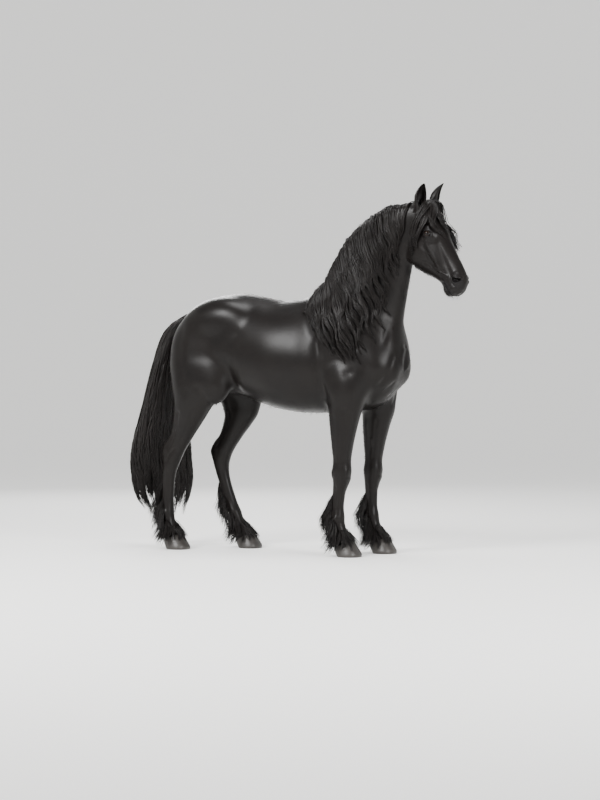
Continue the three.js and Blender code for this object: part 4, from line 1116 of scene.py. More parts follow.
def eye_finish():
    """A dark brown eye with a level oval pupil under a wet surface."""
    f = Finish("wet_brown_eye")
    place = f.node("ShaderNodeUVMap", {"uv_map": "Gaze"})
    x = f.node("ShaderNodeSeparateXYZ", {}, {0: place}, "X")
    y = f.node("ShaderNodeSeparateXYZ", {}, {0: place}, "Y")
    ring = (x * x + y * y) ** 0.5
    fibres = f.noise(f.stretched(place, (90, 90, 1)), 1.0, 3.0)
    across = x - 0.22
    oval = (across * across * 0.6 + y * y * 2.0) ** 0.5
    pupil = f.node("ShaderNodeMapRange", {}, {0: oval, 1: 0.3, 2: 0.36, 3: 1.0, 4: 0.0})
    limb = f.node("ShaderNodeMapRange", {}, {0: ring, 1: 0.66, 2: 0.8, 3: 0.0, 4: 1.0})
    brown = f.mixed(fibres, (0.004, 0.0017, 0.0009, 1), (0.012, 0.005, 0.0022, 1))
    colour = f.mixed(limb, brown, (0.003, 0.0018, 0.0015, 1))
    colour = f.mixed(pupil, colour, (0.0008, 0.0008, 0.001, 1))
    return f.shade({"Base Color": colour, "Roughness": 0.05, "Specular IOR Level": 0.22})


COAT = coat_finish()
MANE_HAIR = hair_finish("long_black_mane", 0.3)
TAIL_HAIR = hair_finish("long_black_tail", 0.32)
FEATHER_HAIR = hair_finish("silky_black_feather", 0.36)
HORN = horn_finish()
EYE = eye_finish()

# Skin: one piece in place of all the nodes of flesh
skin_points, skin_faces, skin_ways, field_samples = skin_mesh()
flesh_nodes = ["torso", "neck", "head", "ear_left", "ear_right"]
for limb in ("foreleg", "hindleg"):
    flesh_nodes += [f"{limb}_{hand}_{part}" for hand in ("left", "right") for part in ("upper", "lower")]
skin = mesh_piece("skin", skin_points, skin_faces, COAT, flesh_nodes)
add_uv(skin, "OFBake", skin_uv(skin_points, skin_faces))
skin.data.normals_split_custom_set_from_vertices(skin_ways)


def near_spot(points, spot, radius):
    """1 at a spot, falling softly to 0 round it."""
    return np.exp(-((np.linalg.norm(points - spot, axis=1) / radius) ** 2))


def bare_places(points):
    """How bare the skin is: 1 on the lids, in the nostrils and on the lips, and 0 under the coat."""
    face = HEAD_AXES.into(points)
    found = ease(480, 530, face[:, 0]) * ease(34, 8, np.abs(face[:, 1] - lips_at(face[:, 0])))
    for side, centre in EYES.items():
        found = np.maximum(found, 1.2 * near_spot(points, centre + 14 * eye_axes(side)[0], 26))
        found = np.maximum(found, near_spot(face, np.array([548, -10, side * 52]), 38))
    return np.clip(found, 0, 1)


bare = bare_places(skin_points)
attribute = skin.data.attributes.new("bare", "FLOAT", "POINT")
attribute.data.foreach_set("value", bare.astype(np.float32))


# Eyes
def eyeball(side, rows=40, columns=64):
    """A ball with a slightly bulging front and a map of its gaze."""
    gaze, length, height = eye_axes(side)
    polar = np.linspace(0, np.pi, rows)[:, None]
    turn = 2 * np.pi * np.arange(columns)[None, :] / columns
    radius = EYEBALL - 0.5 + 0.9 * np.exp(-((polar / 0.45) ** 2))
    x, y, z = np.sin(polar) * np.cos(turn), np.sin(polar) * np.sin(turn), np.cos(polar) + 0 * turn
    way = x[..., None] * length + y[..., None] * height + z[..., None] * gaze
    points = EYES[side] + radius[..., None] * way
    faces = ring_faces(rows, columns)
    if side > 0:
        faces = faces[:, ::-1]
    name = "eye_left" if side > 0 else "eye_right"
    piece = mesh_piece(f"{name}_ball", points.reshape(-1, 3), faces, EYE, [name])
    gaze_map = np.stack([x, y], axis=-1)
    gaze_map[z < 0] *= 2
    add_uv(piece, "Gaze", gaze_map.reshape(-1, 2)[faces.ravel()])


for side in EYES:
    eyeball(side)


# Hooves
def rim_height(leg, x):
    """Height of a hoof's sloping upper rim."""
    return CORONET + (x - leg["hoof"] - RIM_FRONT) * (CORONET - HEEL_HEIGHT) / RIM_LENGTH


def hoof_piece(name, leg, columns=56):
    """A slanted cone with a flat sole, a rounded edge and a sloping upper rim."""
    y, toe, half = leg["side"] * leg["width"], HOOF_LENGTH / 2, HOOF_WIDTH / 2
    walls = curves([
        [0, 4 - HEEL_REACH, toe - 3.5, half - 3.5],
        [0.08, -HEEL_REACH, toe - 0.8, half - 0.8],
        [0.5, -79, toe - 25, half - 8],
        [1, -RIM_REAR, RIM_FRONT, half - RIM_INSET],
    ])
    shares = np.concatenate([np.linspace(0, 0.08, 4), np.linspace(0.16, 1, 14)])
    turn = 2 * np.pi * np.arange(columns) / columns
    c, s = np.cos(turn), np.sin(turn)
    square = np.where(c < 0, 1 - 0.1 * c * c, 1)
    heel = 7 * np.exp(-((np.angle(np.exp(1j * (turn - np.pi))) / 0.2) ** 2))
    rings = [np.repeat([[leg["hoof"], y, 0.0]], columns, axis=0)]
    for share in shares:
        rear, front, width = walls(share)
        reach = (front - rear) / 2 * square * np.sign(c) * np.abs(c) ** 0.85
        x = leg["hoof"] + (rear + front) / 2 + reach + heel * (1 - share)
        ripple = 0.5 * math.sin(share * 40) * ease(0.1, 0.25, share)
        side = (width + ripple) * np.sign(s) * np.abs(s) ** 0.85
        rings.append(np.column_stack([x + ripple * c, y + side, share * rim_height(leg, x)]))
    rim = rings[-1]
    middle = rim.mean(axis=0)
    for inset in (5, 12):
        rings.append(middle + (rim - middle) * (1 - inset / 70))
    rings.append(np.repeat(rings[-1].mean(axis=0)[None], columns, axis=0))
    faces = ring_faces(len(rings), columns)[:, [0, 3, 2, 1]]
    return mesh_piece(f"hoof_{name}_horn", np.concatenate(rings), faces, HORN, [f"hoof_{name}"])


for name, leg in LEGS.items():
    hoof_piece(name, leg)


# Hair: where the right side of the body lies at a place of the middle plane
def side_map():
    """The right side's y at the samples' x and z, filled upwards past the top and slightly blurred."""
    xs, ys, zs, values = field_samples
    inside = values < -COAT_DEPTH
    found = inside.any(axis=1)
    j = np.clip(inside.argmax(axis=1), 1, None)
    i, k = np.meshgrid(np.arange(len(xs)), np.arange(len(zs)), indexing="ij")
    before, after = values[i, j - 1, k] + COAT_DEPTH, values[i, j, k] + COAT_DEPTH
    share = np.clip(before / np.where(before - after == 0, 1, before - after), 0, 1)
    side = np.where(found, mix(ys[j - 1], ys[j], share), np.nan)
    for level in range(1, len(zs)):
        empty = np.isnan(side[:, level])
        side[empty, level] = side[empty, level - 1]
    # Places with nothing of the horse at their height or under it
    side = np.nan_to_num(side, nan=-10.0)
    for _ in range(3):
        side[1:-1] = (side[:-2] + 2 * side[1:-1] + side[2:]) / 4
        side[:, 1:-1] = (side[:, :-2] + 2 * side[:, 1:-1] + side[:, 2:]) / 4
    return xs, zs, side


SIDE_X, SIDE_Z, SIDE = side_map()


def side_at(x, z):
    """The right side's y, and its outward direction, at places of the middle plane."""

    def read(px, pz):
        i = np.clip(np.searchsorted(SIDE_X, px) - 1, 0, len(SIDE_X) - 2)
        k = np.clip(np.searchsorted(SIDE_Z, pz) - 1, 0, len(SIDE_Z) - 2)
        u = np.clip((px - SIDE_X[i]) / (SIDE_X[i + 1] - SIDE_X[i]), 0, 1)
        v = np.clip((pz - SIDE_Z[k]) / (SIDE_Z[k + 1] - SIDE_Z[k]), 0, 1)
        low = mix(SIDE[i, k], SIDE[i + 1, k], u)
        return mix(low, mix(SIDE[i, k + 1], SIDE[i + 1, k + 1], u), v)

    step = 12
    y = read(x, z)
    rise_x = (read(x + step, z) - read(x - step, z)) / (2 * step)
    rise_z = (read(x, z + step) - read(x, z - step)) / (2 * step)
    return y, unit(np.stack([rise_x, -np.ones_like(y), rise_z], axis=-1))


# Mane: clumps of locks that leave the crest and fall over the right side in slow waves
mane_at = curves(MANE)
MANE_CLUMPS = 25
MANE_FIRST, MANE_LAST = 16, 890
MANE_SPREAD = 908
WAVE_LENGTH = 215
CREST_RISE = 17


def mane_paths(s, t, lift, reach, root_y, sway):
    """Points of the mane at distances along the neck, shares of the fall, heights over the coat and sways."""
    top, shift = neck_at(s)[..., 0], neck_at(s)[..., 4]
    crest = NECK_AXES.out(np.stack([s, top - 6, 0 * s], axis=-1))
    tip_x, tip_z, pace = np.moveaxis(mane_at(s), -1, 0)
    x = mix(crest[..., 0], tip_x, np.maximum(t * reach, 0) ** pace) + sway
    z = mix(crest[..., 2], tip_z, t * (1.3 - 0.3 * t) * reach) - 0.25 * sway
    side, outward = side_at(x, z)
    leave = ease(0.01, 0.12, t)
    outward = unit(mix(np.array([0.0, -0.15, 1.0]), outward, leave[..., None]))
    base = np.stack([x, mix(shift + root_y, side, leave), z], axis=-1)
    return base + outward * lift[..., None], outward


def mane_piece(name, seed, clumps, locks, reaches, lifts, width, stops=23):
    """Clumps of locks along the crest: reaches are a clump's least and greatest, lifts are a lock's."""
    draw = np.random.default_rng(seed)
    centres = np.linspace(MANE_FIRST, MANE_LAST, clumps) + draw.uniform(-6, 6, clumps)
    clump = np.repeat(np.arange(clumps), locks)
    count = len(clump)
    t = np.linspace(0, 1, stops)[None, :] ** 1.35
    spacing = MANE_SPREAD / clumps
    roots = centres[clump] + draw.uniform(-0.75, 0.75, count) * spacing
    reach = (draw.uniform(*reaches, clumps)[clump] * draw.uniform(0.86, 1.02, count))[:, None]
    clump_phase = 0.42 * np.arange(clumps) + draw.uniform(-0.7, 0.7, clumps)
    phase = clump_phase[clump] + draw.uniform(-0.35, 0.35, count)
    swing = draw.uniform(9, 17, clumps)[clump] * draw.uniform(0.7, 1.2, count)
    crest = NECK_AXES.out(np.column_stack([roots, neck_at(roots)[:, 0], 0 * roots]))[:, [0, 2]]
    length = np.linalg.norm(mane_at(roots)[:, :2] - crest, axis=1)
    # Short locks, and those near the poll, swing and lift less
    body = np.clip(length / 380, 0.3, 1) * mix(1, 0.5, ease(800, 900, roots))
    swing = swing * body
    turns = 2 * np.pi * t * reach * length[:, None] / WAVE_LENGTH + phase[:, None]
    gather = 1 - 0.88 * ease(0.1, 1, t)
    s = centres[clump][:, None] + (roots - centres[clump])[:, None] * gather
    sway = swing[:, None] * ease(0.06, 0.4, t) * np.sin(turns)
    depth = (draw.uniform(*lifts, count) * body)[:, None]
    puff = (draw.uniform(2, 9, clumps)[clump] * body)[:, None]
    puff = puff * np.sin(np.pi * t) * (0.5 + 0.5 * np.cos(turns))
    lift = mix(-5, depth, ease(-0.02, 0.12, t)) * (1 - 0.25 * t) + puff
    rise = CREST_RISE * draw.uniform(0.85, 1.1, count) * ease(900, 780, roots)
    lift = lift + rise[:, None] * ease(-0.02, 0.05, t) * ease(0.26, 0.03, t)
    root_y = draw.uniform(-16, 20, count)[:, None] * np.ones_like(t)
    paths, outward = mane_paths(s, t * np.ones_like(s), lift, reach * np.ones_like(s), root_y, sway)
    lock_meshes(
        name, paths, outward, width * draw.uniform(0.6, 1.35, count), draw.uniform(3.5, 6.5, count),
        chart("neck", *part_place("neck", paths[:, 1])), MANE_HAIR,
    )


mane_piece("mane_under", 11, MANE_CLUMPS, 38, (0.84, 1.05), (3, 16), 13)
mane_piece("mane_over", 12, MANE_CLUMPS, 43, (0.7, 1.0), (12, 34), 9)
mane_piece("mane_wisps", 14, MANE_CLUMPS, 23, (0.6, 1.04), (18, 40), 5)
mane_piece("mane_crest", 13, 60, 9, (0.2, 0.55), (8, 24), 8, 13)


# Forelock: locks along a few paths that leave the poll and part over the forehead
HEAD_CORE = -80
HEAD_STEP = 7.0
ANGLE_STEP = 5.0


def head_radius_map():
    """How far the skin lies from the head's middle line, by distance along it and angle."""
    along = np.arange(-4, 360, HEAD_STEP)
    angles = np.radians(np.arange(-180, 181, ANGLE_STEP))
    a, b = np.meshgrid(along, angles, indexing="ij")
    low, high = np.zeros_like(a), np.full_like(a, 260.0)
    for _ in range(14):
        r = (low + high) / 2
        q = np.stack([a, HEAD_CORE + np.cos(b) * r, np.sin(b) * r], axis=-1).reshape(-1, 3)
        inside = (blend(head_parts, HEAD_AXES.out(q)) < 0).reshape(a.shape)
        low, high = np.where(inside, r, low), np.where(inside, high, r)
    return along, angles, low


HEAD_ALONG, HEAD_ANGLES, HEAD_RADIUS = head_radius_map()


def head_spot(along, degrees, lift):
    """A point at a height over the head's skin, and its outward direction."""
    angle = np.radians(degrees)
    u = np.clip((along - HEAD_ALONG[0]) / HEAD_STEP, 0, len(HEAD_ALONG) - 1.001)
    v = np.clip((angle + np.pi) / np.radians(ANGLE_STEP), 0, len(HEAD_ANGLES) - 1.001)
    i, j = u.astype(int), v.astype(int)
    low = mix(HEAD_RADIUS[i, j], HEAD_RADIUS[i + 1, j], u - i)
    r = mix(low, mix(HEAD_RADIUS[i, j + 1], HEAD_RADIUS[i + 1, j + 1], u - i), v - j) + lift
    way = np.stack([0 * angle, np.cos(angle), np.sin(angle)], axis=-1)
    middle = np.stack([along, HEAD_CORE + 0 * along, 0 * along], axis=-1)
    return HEAD_AXES.out(middle + way * r[..., None]), way @ HEAD_AXES.matrix


def forelock_piece(locks=64, stops=16):
    """Locks along each path of the forelock: those of the last three, on the left side, hang longest."""
    draw = np.random.default_rng(21)
    t = np.linspace(0, 1, stops)
    paths, outward = [], []
    for number, path in enumerate(FORELOCK):
        path_at = curves([[i / (len(path) - 1), *spot] for i, spot in enumerate(path)])
        farthest = 1.06 if number < 5 else 1.3
        for _ in range(locks):
            reach = draw.uniform(0.72, farthest)
            spot = path_at(np.clip(t * reach, 0, 1))
            spread = 1 - 0.7 * ease(0.1, 1, t)
            along = spot[:, 0] + draw.uniform(-9, 7) + max(reach - 1, 0) * 160 * t
            angle = spot[:, 1] + draw.uniform(-13, 13) * spread
            swing = draw.uniform(1, 4) * ease(0.1, 0.5, t)
            angle = angle + swing * np.sin(9 * t + draw.uniform(0, 1.6) + path[-1][1] / 20)
            height = np.maximum(spot[:, 2] * draw.uniform(0.25, 1.1), -8) + draw.uniform(0, 3)
            point, way = head_spot(along, angle, height)
            paths.append(point)
            outward.append(way)
    paths, outward = np.array(paths), np.array(outward)
    count = len(paths)
    lock_meshes(
        "forelock", paths, outward, draw.uniform(3.5, 8, count), draw.uniform(2, 3.5, count),
        chart("head", *part_place("head", paths[:, 0])), MANE_HAIR,
    )


forelock_piece()

# Tail: a hair-covered dock, and clumps of long locks round it
tail_at = curves(TAIL)
TAIL_TOP = 1497
DOCK_END = 900
TAIL_WAVE = 330


def tail_spot(z, angle, scale):
    """A point of the tail, and its outward direction."""
    x, y, deep, wide, turn = np.moveaxis(tail_at(-z), -1, 0)
    a, b = scale * deep * np.cos(angle), scale * wide * np.sin(angle)
    c, s = np.cos(np.radians(turn)), np.sin(np.radians(turn))
    out_a, out_b = np.cos(angle) / deep, np.sin(angle) / wide
    outward = np.stack([out_a * c + out_b * s, out_b * c - out_a * s, 0.15 / deep + 0 * a], axis=-1)
    return np.stack([x + a * c + b * s, y + b * c - a * s, z + 0 * a], axis=-1), unit(outward)


def tail_dock(sides=36):
    """The dock: a closed core under the long hair, itself covered in hair."""
    levels = np.linspace(TAIL_TOP, DOCK_END, 40)
    scale = np.interp(-levels, (-TAIL_TOP, -1430, -1310, -1110, -DOCK_END), (0.88, 0.8, 0.66, 0.5, 0.25))
    angles = 2 * np.pi * np.arange(sides) / sides
    z, angle = np.meshgrid(levels, angles, indexing="ij")
    rings, _ = tail_spot(z, angle, scale[:, None] * np.ones_like(angle))
    top, end = [np.repeat(rings[i].mean(axis=0)[None], sides, axis=0)[None] for i in (0, -1)]
    rings = np.concatenate([top, rings, end])
    faces = ring_faces(len(rings), sides)
    piece = mesh_piece("tail_dock", rings.reshape(-1, 3), faces, TAIL_HAIR, ["tail"])
    height = np.repeat(rings[:, 0, 2:3] / 1000, sides, axis=1)
    strand = np.stack([np.tile(angles * 8, (len(rings), 1)), height], axis=-1)
    add_uv(piece, "Strand", strand.reshape(-1, 2)[faces.ravel()])
    bake = chart("trunk", 0.02 + 0 * angle.ravel(), angle.ravel() / (2 * np.pi) - 0.5)
    bake = np.concatenate([bake[:sides], bake, bake[:sides]])
    add_uv(piece, "OFBake", bake[faces.ravel()])


def tail_piece(name, seed, clumps, locks, sizes, tips, width, stops=22):
    """Clumps of locks round the dock, with the least and greatest size and tip's height of a clump."""
    draw = np.random.default_rng(seed)
    clump = np.repeat(np.arange(clumps), locks)
    count = len(clump)
    t = np.linspace(0, 1, stops)[None, :]
    centres = 2 * np.pi * (np.arange(clumps) + draw.uniform(-0.3, 0.3, clumps)) / clumps
    tip = draw.uniform(*tips, clumps) + 30 * np.abs(np.sin(centres))
    root_angle = centres[clump] + draw.uniform(-0.8, 0.8, count) * 2 * np.pi / clumps
    size = draw.uniform(*sizes, clumps)[clump] * draw.uniform(0.93, 1.05, count)
    start = (TAIL_TOP - 3 - 300 * draw.uniform(0, 1, count) ** 1.7)[:, None]
    end = (tip[clump] + np.abs(draw.normal(0, 1, count)) * 55)[:, None]
    gather = 1 - 0.84 * ease(0.25, 1, t)
    phase = draw.uniform(0, 2 * np.pi, clumps)[clump][:, None] + draw.uniform(-0.4, 0.4, count)[:, None]
    turns = 2 * np.pi * t * (start - end) / TAIL_WAVE + phase
    swing = draw.uniform(0.05, 0.12, clumps)[clump][:, None] * ease(0.15, 0.5, t) * np.sin(turns)
    angle = centres[clump][:, None] + (root_angle - centres[clump])[:, None] * gather + swing
    top_size = draw.uniform(0.86, 1.0, count)[:, None]
    scale = mix(mix(0.74, top_size, ease(0, 0.05, t)), size[:, None], ease(0.1, 0.35, t))
    scale = scale + 0.05 * ease(0.3, 0.8, t) * np.cos(turns)
    scale = scale + draw.uniform(-0.02, 0.1, clumps)[clump][:, None] * t**3
    paths, outward = tail_spot(mix(start, end, t), angle, scale)
    places = chart("trunk", 0.02 + 0.05 * draw.uniform(0, 1, count), root_angle / (2 * np.pi) - 0.5)
    lock_meshes(
        name, paths, outward, width * draw.uniform(0.6, 1.4, count), draw.uniform(4, 7, count),
        places, TAIL_HAIR,
    )


tail_dock()
tail_piece("tail_inner", 31, 22, 26, (0.45, 0.78), (180, 420), 17)
tail_piece("tail_outer", 32, 26, 42, (0.8, 1.0), (155, 330), 12)


# Feather: silky locks from the back of each cannon and all round each coronet
FORE_TOP, HIND_TOP = 372, 430
FRINGE_CLUMPS = 22
HOOF_ROUNDNESS = 2.3


def clear_of_hoof(leg, p):
    """Moves points that lie within the hoof's wall out to just over it."""
    y, toe, half = leg["side"] * leg["width"], HOOF_LENGTH / 2, HOOF_WIDTH / 2
    share = np.clip(p[..., 2] / rim_height(leg, p[..., 0]), 0, 1)
    rear, front = mix(-HEEL_REACH, -RIM_REAR, share), mix(toe, RIM_FRONT, share)
    width = mix(half, half - RIM_INSET, share)
    middle = leg["hoof"] + (rear + front) / 2
    dx, dy = p[..., 0] - middle, p[..., 1] - y
    n = HOOF_ROUNDNESS
    size = (np.abs(dx / ((front - rear) / 2)) ** n + np.abs(dy / width) ** n) ** (1 / n)
    grow = np.where(share < 1, np.maximum(1.07 / np.maximum(size, 0.2), 1), 1)
    return np.stack([middle + dx * grow, y + dy * grow, p[..., 2]], axis=-1)


def feather_piece(name, leg, seed, clumps=68, locks=14, stops=10):
    """Clumps of silky locks behind the cannon, the last of them a fringe round the coronet."""
    draw = np.random.default_rng(seed)
    clump = np.repeat(np.arange(clumps), locks)
    count = len(clump)
    level = draw.uniform(0, 1, clumps) ** 1.15
    fringe = np.arange(clumps) >= clumps - FRINGE_CLUMPS
    highest = FORE_TOP if leg["sections"] is FORE else HIND_TOP
    root_z = np.where(fringe, draw.uniform(120, 176, clumps), mix(150, highest, level))
    half_angle = np.where(fringe, 180, mix(112, 34, level))
    centre = 180 + half_angle * draw.uniform(-1, 1, clumps)
    centre = np.where(fringe, 360 * np.arange(clumps) / FRINGE_CLUMPS, centre)
    behind = 0.5 - 0.5 * np.cos(np.radians(centre))
    fall = np.where(fringe, mix(82, 104, behind), mix(118, 205, level) * draw.uniform(0.85, 1.12, clumps))
    flare = np.where(fringe, mix(36, 48, behind), mix(72, 60, level) * draw.uniform(0.75, 1.2, clumps))
    t = np.linspace(0, 1, stops)[None, :]
    root = (root_z[clump] + draw.uniform(-16, 16, count))[:, None]
    spread = draw.uniform(-13, 13, count)[:, None] * (1 - 0.75 * ease(0.1, 1, t))
    phase = draw.uniform(0, 6.28, clumps)[clump][:, None]
    wave = 4.5 * ease(0.1, 0.6, t) * np.sin(phase + 6.5 * t)
    angle = np.radians(centre[clump][:, None] + spread + wave)
    z = root - fall[clump][:, None] * draw.uniform(0.78, 1.08, count)[:, None] * t
    top, bottom, middle, half, shift, _, _ = np.moveaxis(leg["section_at"](np.maximum(z, 62)), -1, 0)
    c, s = np.cos(angle), np.sin(angle)
    reach = np.where(c > 0, top - middle, middle - bottom)
    depth = draw.uniform(0.35, 1.0, count)[:, None]
    lift = mix(-7, 2 + 9 * depth, ease(0, 0.25, t)) + flare[clump][:, None] * depth * t**1.25
    x = middle + (reach + lift) * c - 16 * behind[clump][:, None] * t**2
    paths = np.stack([x, shift + (half + lift) * s, np.maximum(z, 9 + 6 * depth)], axis=-1)
    paths = clear_of_hoof(leg, paths)
    outward = np.stack([c, s, 0.35 + 0 * c], axis=-1)
    lock_meshes(
        f"feather_{name}", paths, outward, draw.uniform(3, 8, count), draw.uniform(1.6, 3, count),
        chart(name, *part_place(name, paths[:, 0])), FEATHER_HAIR,
    )


for number, (name, leg) in enumerate(LEGS.items()):
    feather_piece(name, leg, 41 + number)


# Short hair: tufts that break the coat's outline, ear hair, lashes and whiskers
def short_locks(name, roots, flow, outward, length, lift, width, material, seed, stops=3):
    """Locks from roots along flow, each rising by its lift, with a little scatter."""
    draw = np.random.default_rng(seed)
    count = len(roots)
    t = np.linspace(0, 1, stops)[None, :, None]
    scatter = draw.normal(0, 0.16, (count, 3))
    flow = unit(flow - outward * np.einsum("ij,ij->i", flow, outward)[:, None] + scatter)
    length = (length * draw.uniform(0.7, 1.3, count))[:, None, None]
    lift = (lift * draw.uniform(0.4, 1.4, count))[:, None, None]
    rise = lift * t**0.8 - 0.8
    paths = roots[:, None] + flow[:, None] * length * t + outward[:, None] * rise
    return lock_meshes(
        name, paths, np.repeat(outward[:, None], stops, axis=1), width * draw.uniform(0.6, 1.3, count),
        0.35 * width * np.ones(count), root_places(roots), material,
    )


def flow_at(p):
    """The way short hair lies: back and down on the body, down the legs and towards the nose on the face."""
    flow = np.tile([-0.8, 0.0, -0.55], (len(p), 1))
    along = HEAD_AXES.into(p)[:, 0]
    on_head = ease(-40, 60, along) * ease(780, 840, p[:, 0])
    on_leg = ease(960, 820, p[:, 2])
    flow = mix(flow, np.array([-0.15, 0.0, -1.0]), on_leg[:, None])
    return mix(flow, HEAD_AXES.matrix[0] - 0.5 * HEAD_AXES.matrix[1], on_head[:, None])


def edge_places(p, ways):
    """How much longer hair grows: most under the jaw, chin and belly, and less behind and on the breast."""
    head = HEAD_AXES.into(p)
    on_head = (p[:, 0] > 820) & (p[:, 2] > 1500)
    jaw = ease(-90, -170, head[:, 1]) * ease(60, 140, head[:, 0]) * ease(480, 380, head[:, 0]) * on_head
    chin = ease(-104, -120, head[:, 1]) * ease(480, 520, head[:, 0]) * on_head
    belly = ease(-0.55, -0.9, ways[:, 2]) * (p[:, 2] > 800) * (p[:, 0] < 700)
    rear = ease(-0.5, -0.85, ways[:, 0]) * ease(400, 560, p[:, 2]) * (p[:, 2] < 1350)
    breast = ease(0.6, 0.95, ways[:, 0]) * (p[:, 2] > 900) * (p[:, 2] < 1400)
    throat = ease(0.3, 0.9, ways[:, 0]) * ease(1500, 1600, p[:, 2]) * (p[:, 0] < 900)
    back = 0.25 * ease(0.85, 0.97, ways[:, 2]) * (p[:, 2] > 1300)
    places = [jaw, chin, 0.7 * belly, 0.3 * rear, 0.12 * breast, 0.4 * throat, back]
    return np.clip(np.max(places, axis=0), 0, 1)


def coat_tufts(count=4600):
    """Small tufts where the coat is longer: none on the feathered feet, round the eyes or on bare skin."""
    draw = np.random.default_rng(51)
    area = np.linalg.norm(face_crosses(skin_points, skin_faces), axis=1)
    middle, way = skin_points[skin_faces].mean(axis=1), skin_ways[skin_faces[:, 0]]
    longer = edge_places(middle, way)
    face = ease(120, 220, HEAD_AXES.into(middle)[:, 0]) * ease(800, 860, middle[:, 0])
    weight = area * longer**1.5
    weight[middle[:, 2] < 230] = 0
    for centre in EYES.values():
        weight[np.linalg.norm(middle - centre, axis=1) < 48] = 0
    weight[bare[skin_faces[:, 0]] > 0.4] = 0
    chosen = draw.choice(len(middle), count, replace=False, p=weight / weight.sum())
    small = np.maximum(face[chosen], ease(420, 300, middle[chosen, 2]))
    length = mix(mix(17, 34, longer[chosen]), mix(7, 17, longer[chosen]), small)
    lift = mix(mix(1.2, 4.5, longer[chosen]), mix(0.6, 3.0, longer[chosen]), small)
    piece = short_locks(
        "coat_tufts", middle[chosen], flow_at(middle[chosen]), way[chosen], length, lift,
        mix(3.0, 1.5, small), COAT, 52,
    )
    # Each tuft is shaded as the skin under it, so that it shows only where it breaks the outline
    corners = len(piece.data.vertices) // count
    piece.data.normals_split_custom_set_from_vertices(np.repeat(way[chosen], corners, axis=0))


def ear_hair(count=150):
    """Fine hair that leans over each ear's opening from its rims."""
    draw = np.random.default_rng(61)
    for side, name in ((-1, "ear_hair_right"), (1, "ear_hair_left")):
        _, _, axis, faces, across = ear_axes(side)
        t = draw.uniform(0.1, 0.86, count)
        radius, roll, _ = ear_at(t).T
        sign = draw.choice([-1, 1], count)
        angle = np.radians(roll) * sign * draw.uniform(0.8, 1.0, count)
        roots = ear_place(side, t, angle, radius - 2)
        inward = -sign[:, None] * across
        flow = 0.75 * axis + 0.35 * inward + 0.3 * faces
        outward = unit(faces + 0.4 * inward)
        short_locks(name, roots, flow, outward, 26 - 12 * t, 5, 2.2 + 0 * t, COAT, 62, 5)


def lashes(count=46, stops=6):
    """Long lashes on the upper lid, and a few short ones on the lower."""
    for side, name in ((-1, "lashes_right"), (1, "lashes_left")):
        draw = np.random.default_rng(71)
        gaze, length, height = eye_axes(side)
        x = draw.uniform(-0.86, 0.86, count) * LID_LENGTH
        upper = np.arange(count) < 0.72 * count
        y = np.where(upper, UPPER_LID, -LOWER_LID) * (1 - (x / LID_LENGTH) ** 2)
        depth = np.sqrt((EYEBALL + 3.5) ** 2 - x**2 - y**2)
        y = y + np.where(upper, 1, -1)
        roots = EYES[side] + x[:, None] * length + y[:, None] * height + depth[:, None] * gaze
        flow = unit(unit(roots - EYES[side]) + 0.25 * length * (x / LID_LENGTH)[:, None])
        size = np.where(upper, 15, 7)[:, None, None]
        droop = np.where(upper, 0.1, -0.3)[:, None, None]
        bend = np.where(upper, 0.5, 0.0)[:, None, None]
        t = np.linspace(0, 1, stops)[None, :, None]
        sink = droop * t - bend * t**2 * (t - 0.5)
        paths = roots[:, None] + flow[:, None] * size * t - height * size * sink
        lock_meshes(
            name, paths, np.tile(height, (count, stops, 1)), np.full(count, 1.1), np.full(count, 0.8),
            root_places(roots), MANE_HAIR,
        )


def whiskers(count=90):
    """Sparse long hairs on the lips and chin."""
    draw = np.random.default_rng(81)
    head = HEAD_AXES.into(skin_points)
    place = np.flatnonzero((head[:, 0] > 500) & (head[:, 1] < -60) & (bare > 0.2))
    chosen = draw.choice(place, count, replace=False)
    flow = skin_ways[chosen] + 0.6 * HEAD_AXES.matrix[0] - 0.4 * HEAD_AXES.matrix[1]
    short_locks(
        "whiskers", skin_points[chosen], flow, skin_ways[chosen], np.full(count, 18.0), 16, 0.9,
        MANE_HAIR, 82, 5,
    )


coat_tufts()
ear_hair()
lashes()
whiskers()

# Studio: a pale floor, soft lights and the camera at the drawing's angle, in metres
FLOOR_RADIUS = 16.0
BEND_RADIUS = 12.0
WALL_TOP = 20.0
LIGHTS_AIM = (0.0, 0.0, 1.2)
# Lights: place, size and power
LIGHTS = {
    "key": ((-1.5, -6.0, 5.2), 3.0, 950),
    "front": ((6.5, -3.5, 3.2), 2.4, 480),
    "top": ((0.2, 0.6, 6.5), 3.2, 330),
    "rim": ((-4.5, 5.0, 4.0), 3.0, 230),
}
# Camera: the drawing's angle, distance and height, and its frame in pixels
VIEW_TURN = 28
VIEW_DISTANCE = 12.0
VIEW_HEIGHT = 1.0
LONG_SIDE = 800
LENS_PIXELS = 1926
ASIDE_PIXELS = 3.3
HORIZON_PIXELS = 8.5
SENSOR = 36


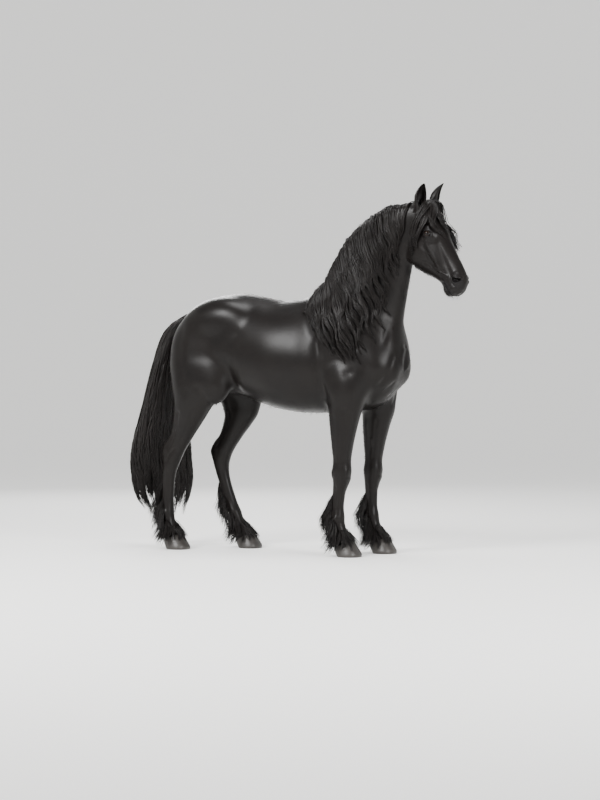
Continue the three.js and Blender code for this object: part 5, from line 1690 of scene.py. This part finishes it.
def studio_floor(columns=96):
    """A pale floor that bends up all round, far outside the lights, so that no horizon shows."""
    bend = np.linspace(0, math.pi / 2, 13)
    radii = [0.0, FLOOR_RADIUS / 2, *(FLOOR_RADIUS + BEND_RADIUS * np.sin(bend)), FLOOR_RADIUS + BEND_RADIUS]
    heights = [0.0, 0.0, *(BEND_RADIUS * (1 - np.cos(bend))), WALL_TOP]
    turn = 2 * np.pi * np.arange(columns) / columns
    spots = [(r * math.cos(a), r * math.sin(a), z) for r, z in zip(radii, heights) for a in turn]
    mesh = bpy.data.meshes.new("studio_floor")
    mesh.from_pydata(spots, [], ring_faces(len(radii), columns).tolist())
    mesh.shade_smooth()
    floor = bpy.data.objects.new("studio_floor", mesh)
    bpy.context.scene.collection.objects.link(floor)
    f = Finish("pale_floor")
    glow = {"Emission Color": (0.93, 0.93, 0.92, 1), "Emission Strength": 0.55}
    mesh.materials.append(f.shade({"Base Color": (0.72, 0.715, 0.7, 1), "Roughness": 0.9, **glow}))


def soft_light(name, place, size, power):
    """A round soft light that faces the middle of the horse."""
    data = bpy.data.lights.new(name, "AREA")
    data.shape, data.size, data.energy = "DISK", size, power
    light = bpy.data.objects.new(name, data)
    light.location = place
    light.rotation_euler = (Vector(LIGHTS_AIM) - Vector(place)).to_track_quat("-Z", "Y").to_euler()
    bpy.context.scene.collection.objects.link(light)


def studio_air():
    """Pale light from all sides."""
    world = bpy.data.worlds.new("studio_air")
    world.use_nodes = True
    air = world.node_tree.nodes["Background"].inputs
    air["Color"].default_value = (0.93, 0.94, 0.96, 1)
    air["Strength"].default_value = 0.4
    bpy.context.scene.world = world


def studio_camera():
    """The camera: level, at the drawing's angle, and shifted only to set the horizon."""
    data = bpy.data.cameras.new("camera")
    data.sensor_width = SENSOR
    data.lens = SENSOR * LENS_PIXELS / LONG_SIDE
    data.shift_y = -HORIZON_PIXELS / LONG_SIDE
    data.clip_end = 200
    camera = bpy.data.objects.new("camera", data)
    c, s = cos_sin(VIEW_TURN)
    aside = ASIDE_PIXELS * VIEW_DISTANCE / LENS_PIXELS
    stand = SHIFT + VIEW_DISTANCE * np.array([s, -c, 0]) + aside * np.array([c, s, 0])
    camera.location = (stand[0], stand[1], VIEW_HEIGHT)
    camera.rotation_euler = (math.radians(90), 0, math.radians(VIEW_TURN))
    bpy.context.scene.collection.objects.link(camera)
    bpy.context.scene.camera = camera


studio_floor()
for name, (place, size, power) in LIGHTS.items():
    soft_light(name, place, size, power)
studio_air()
studio_camera()
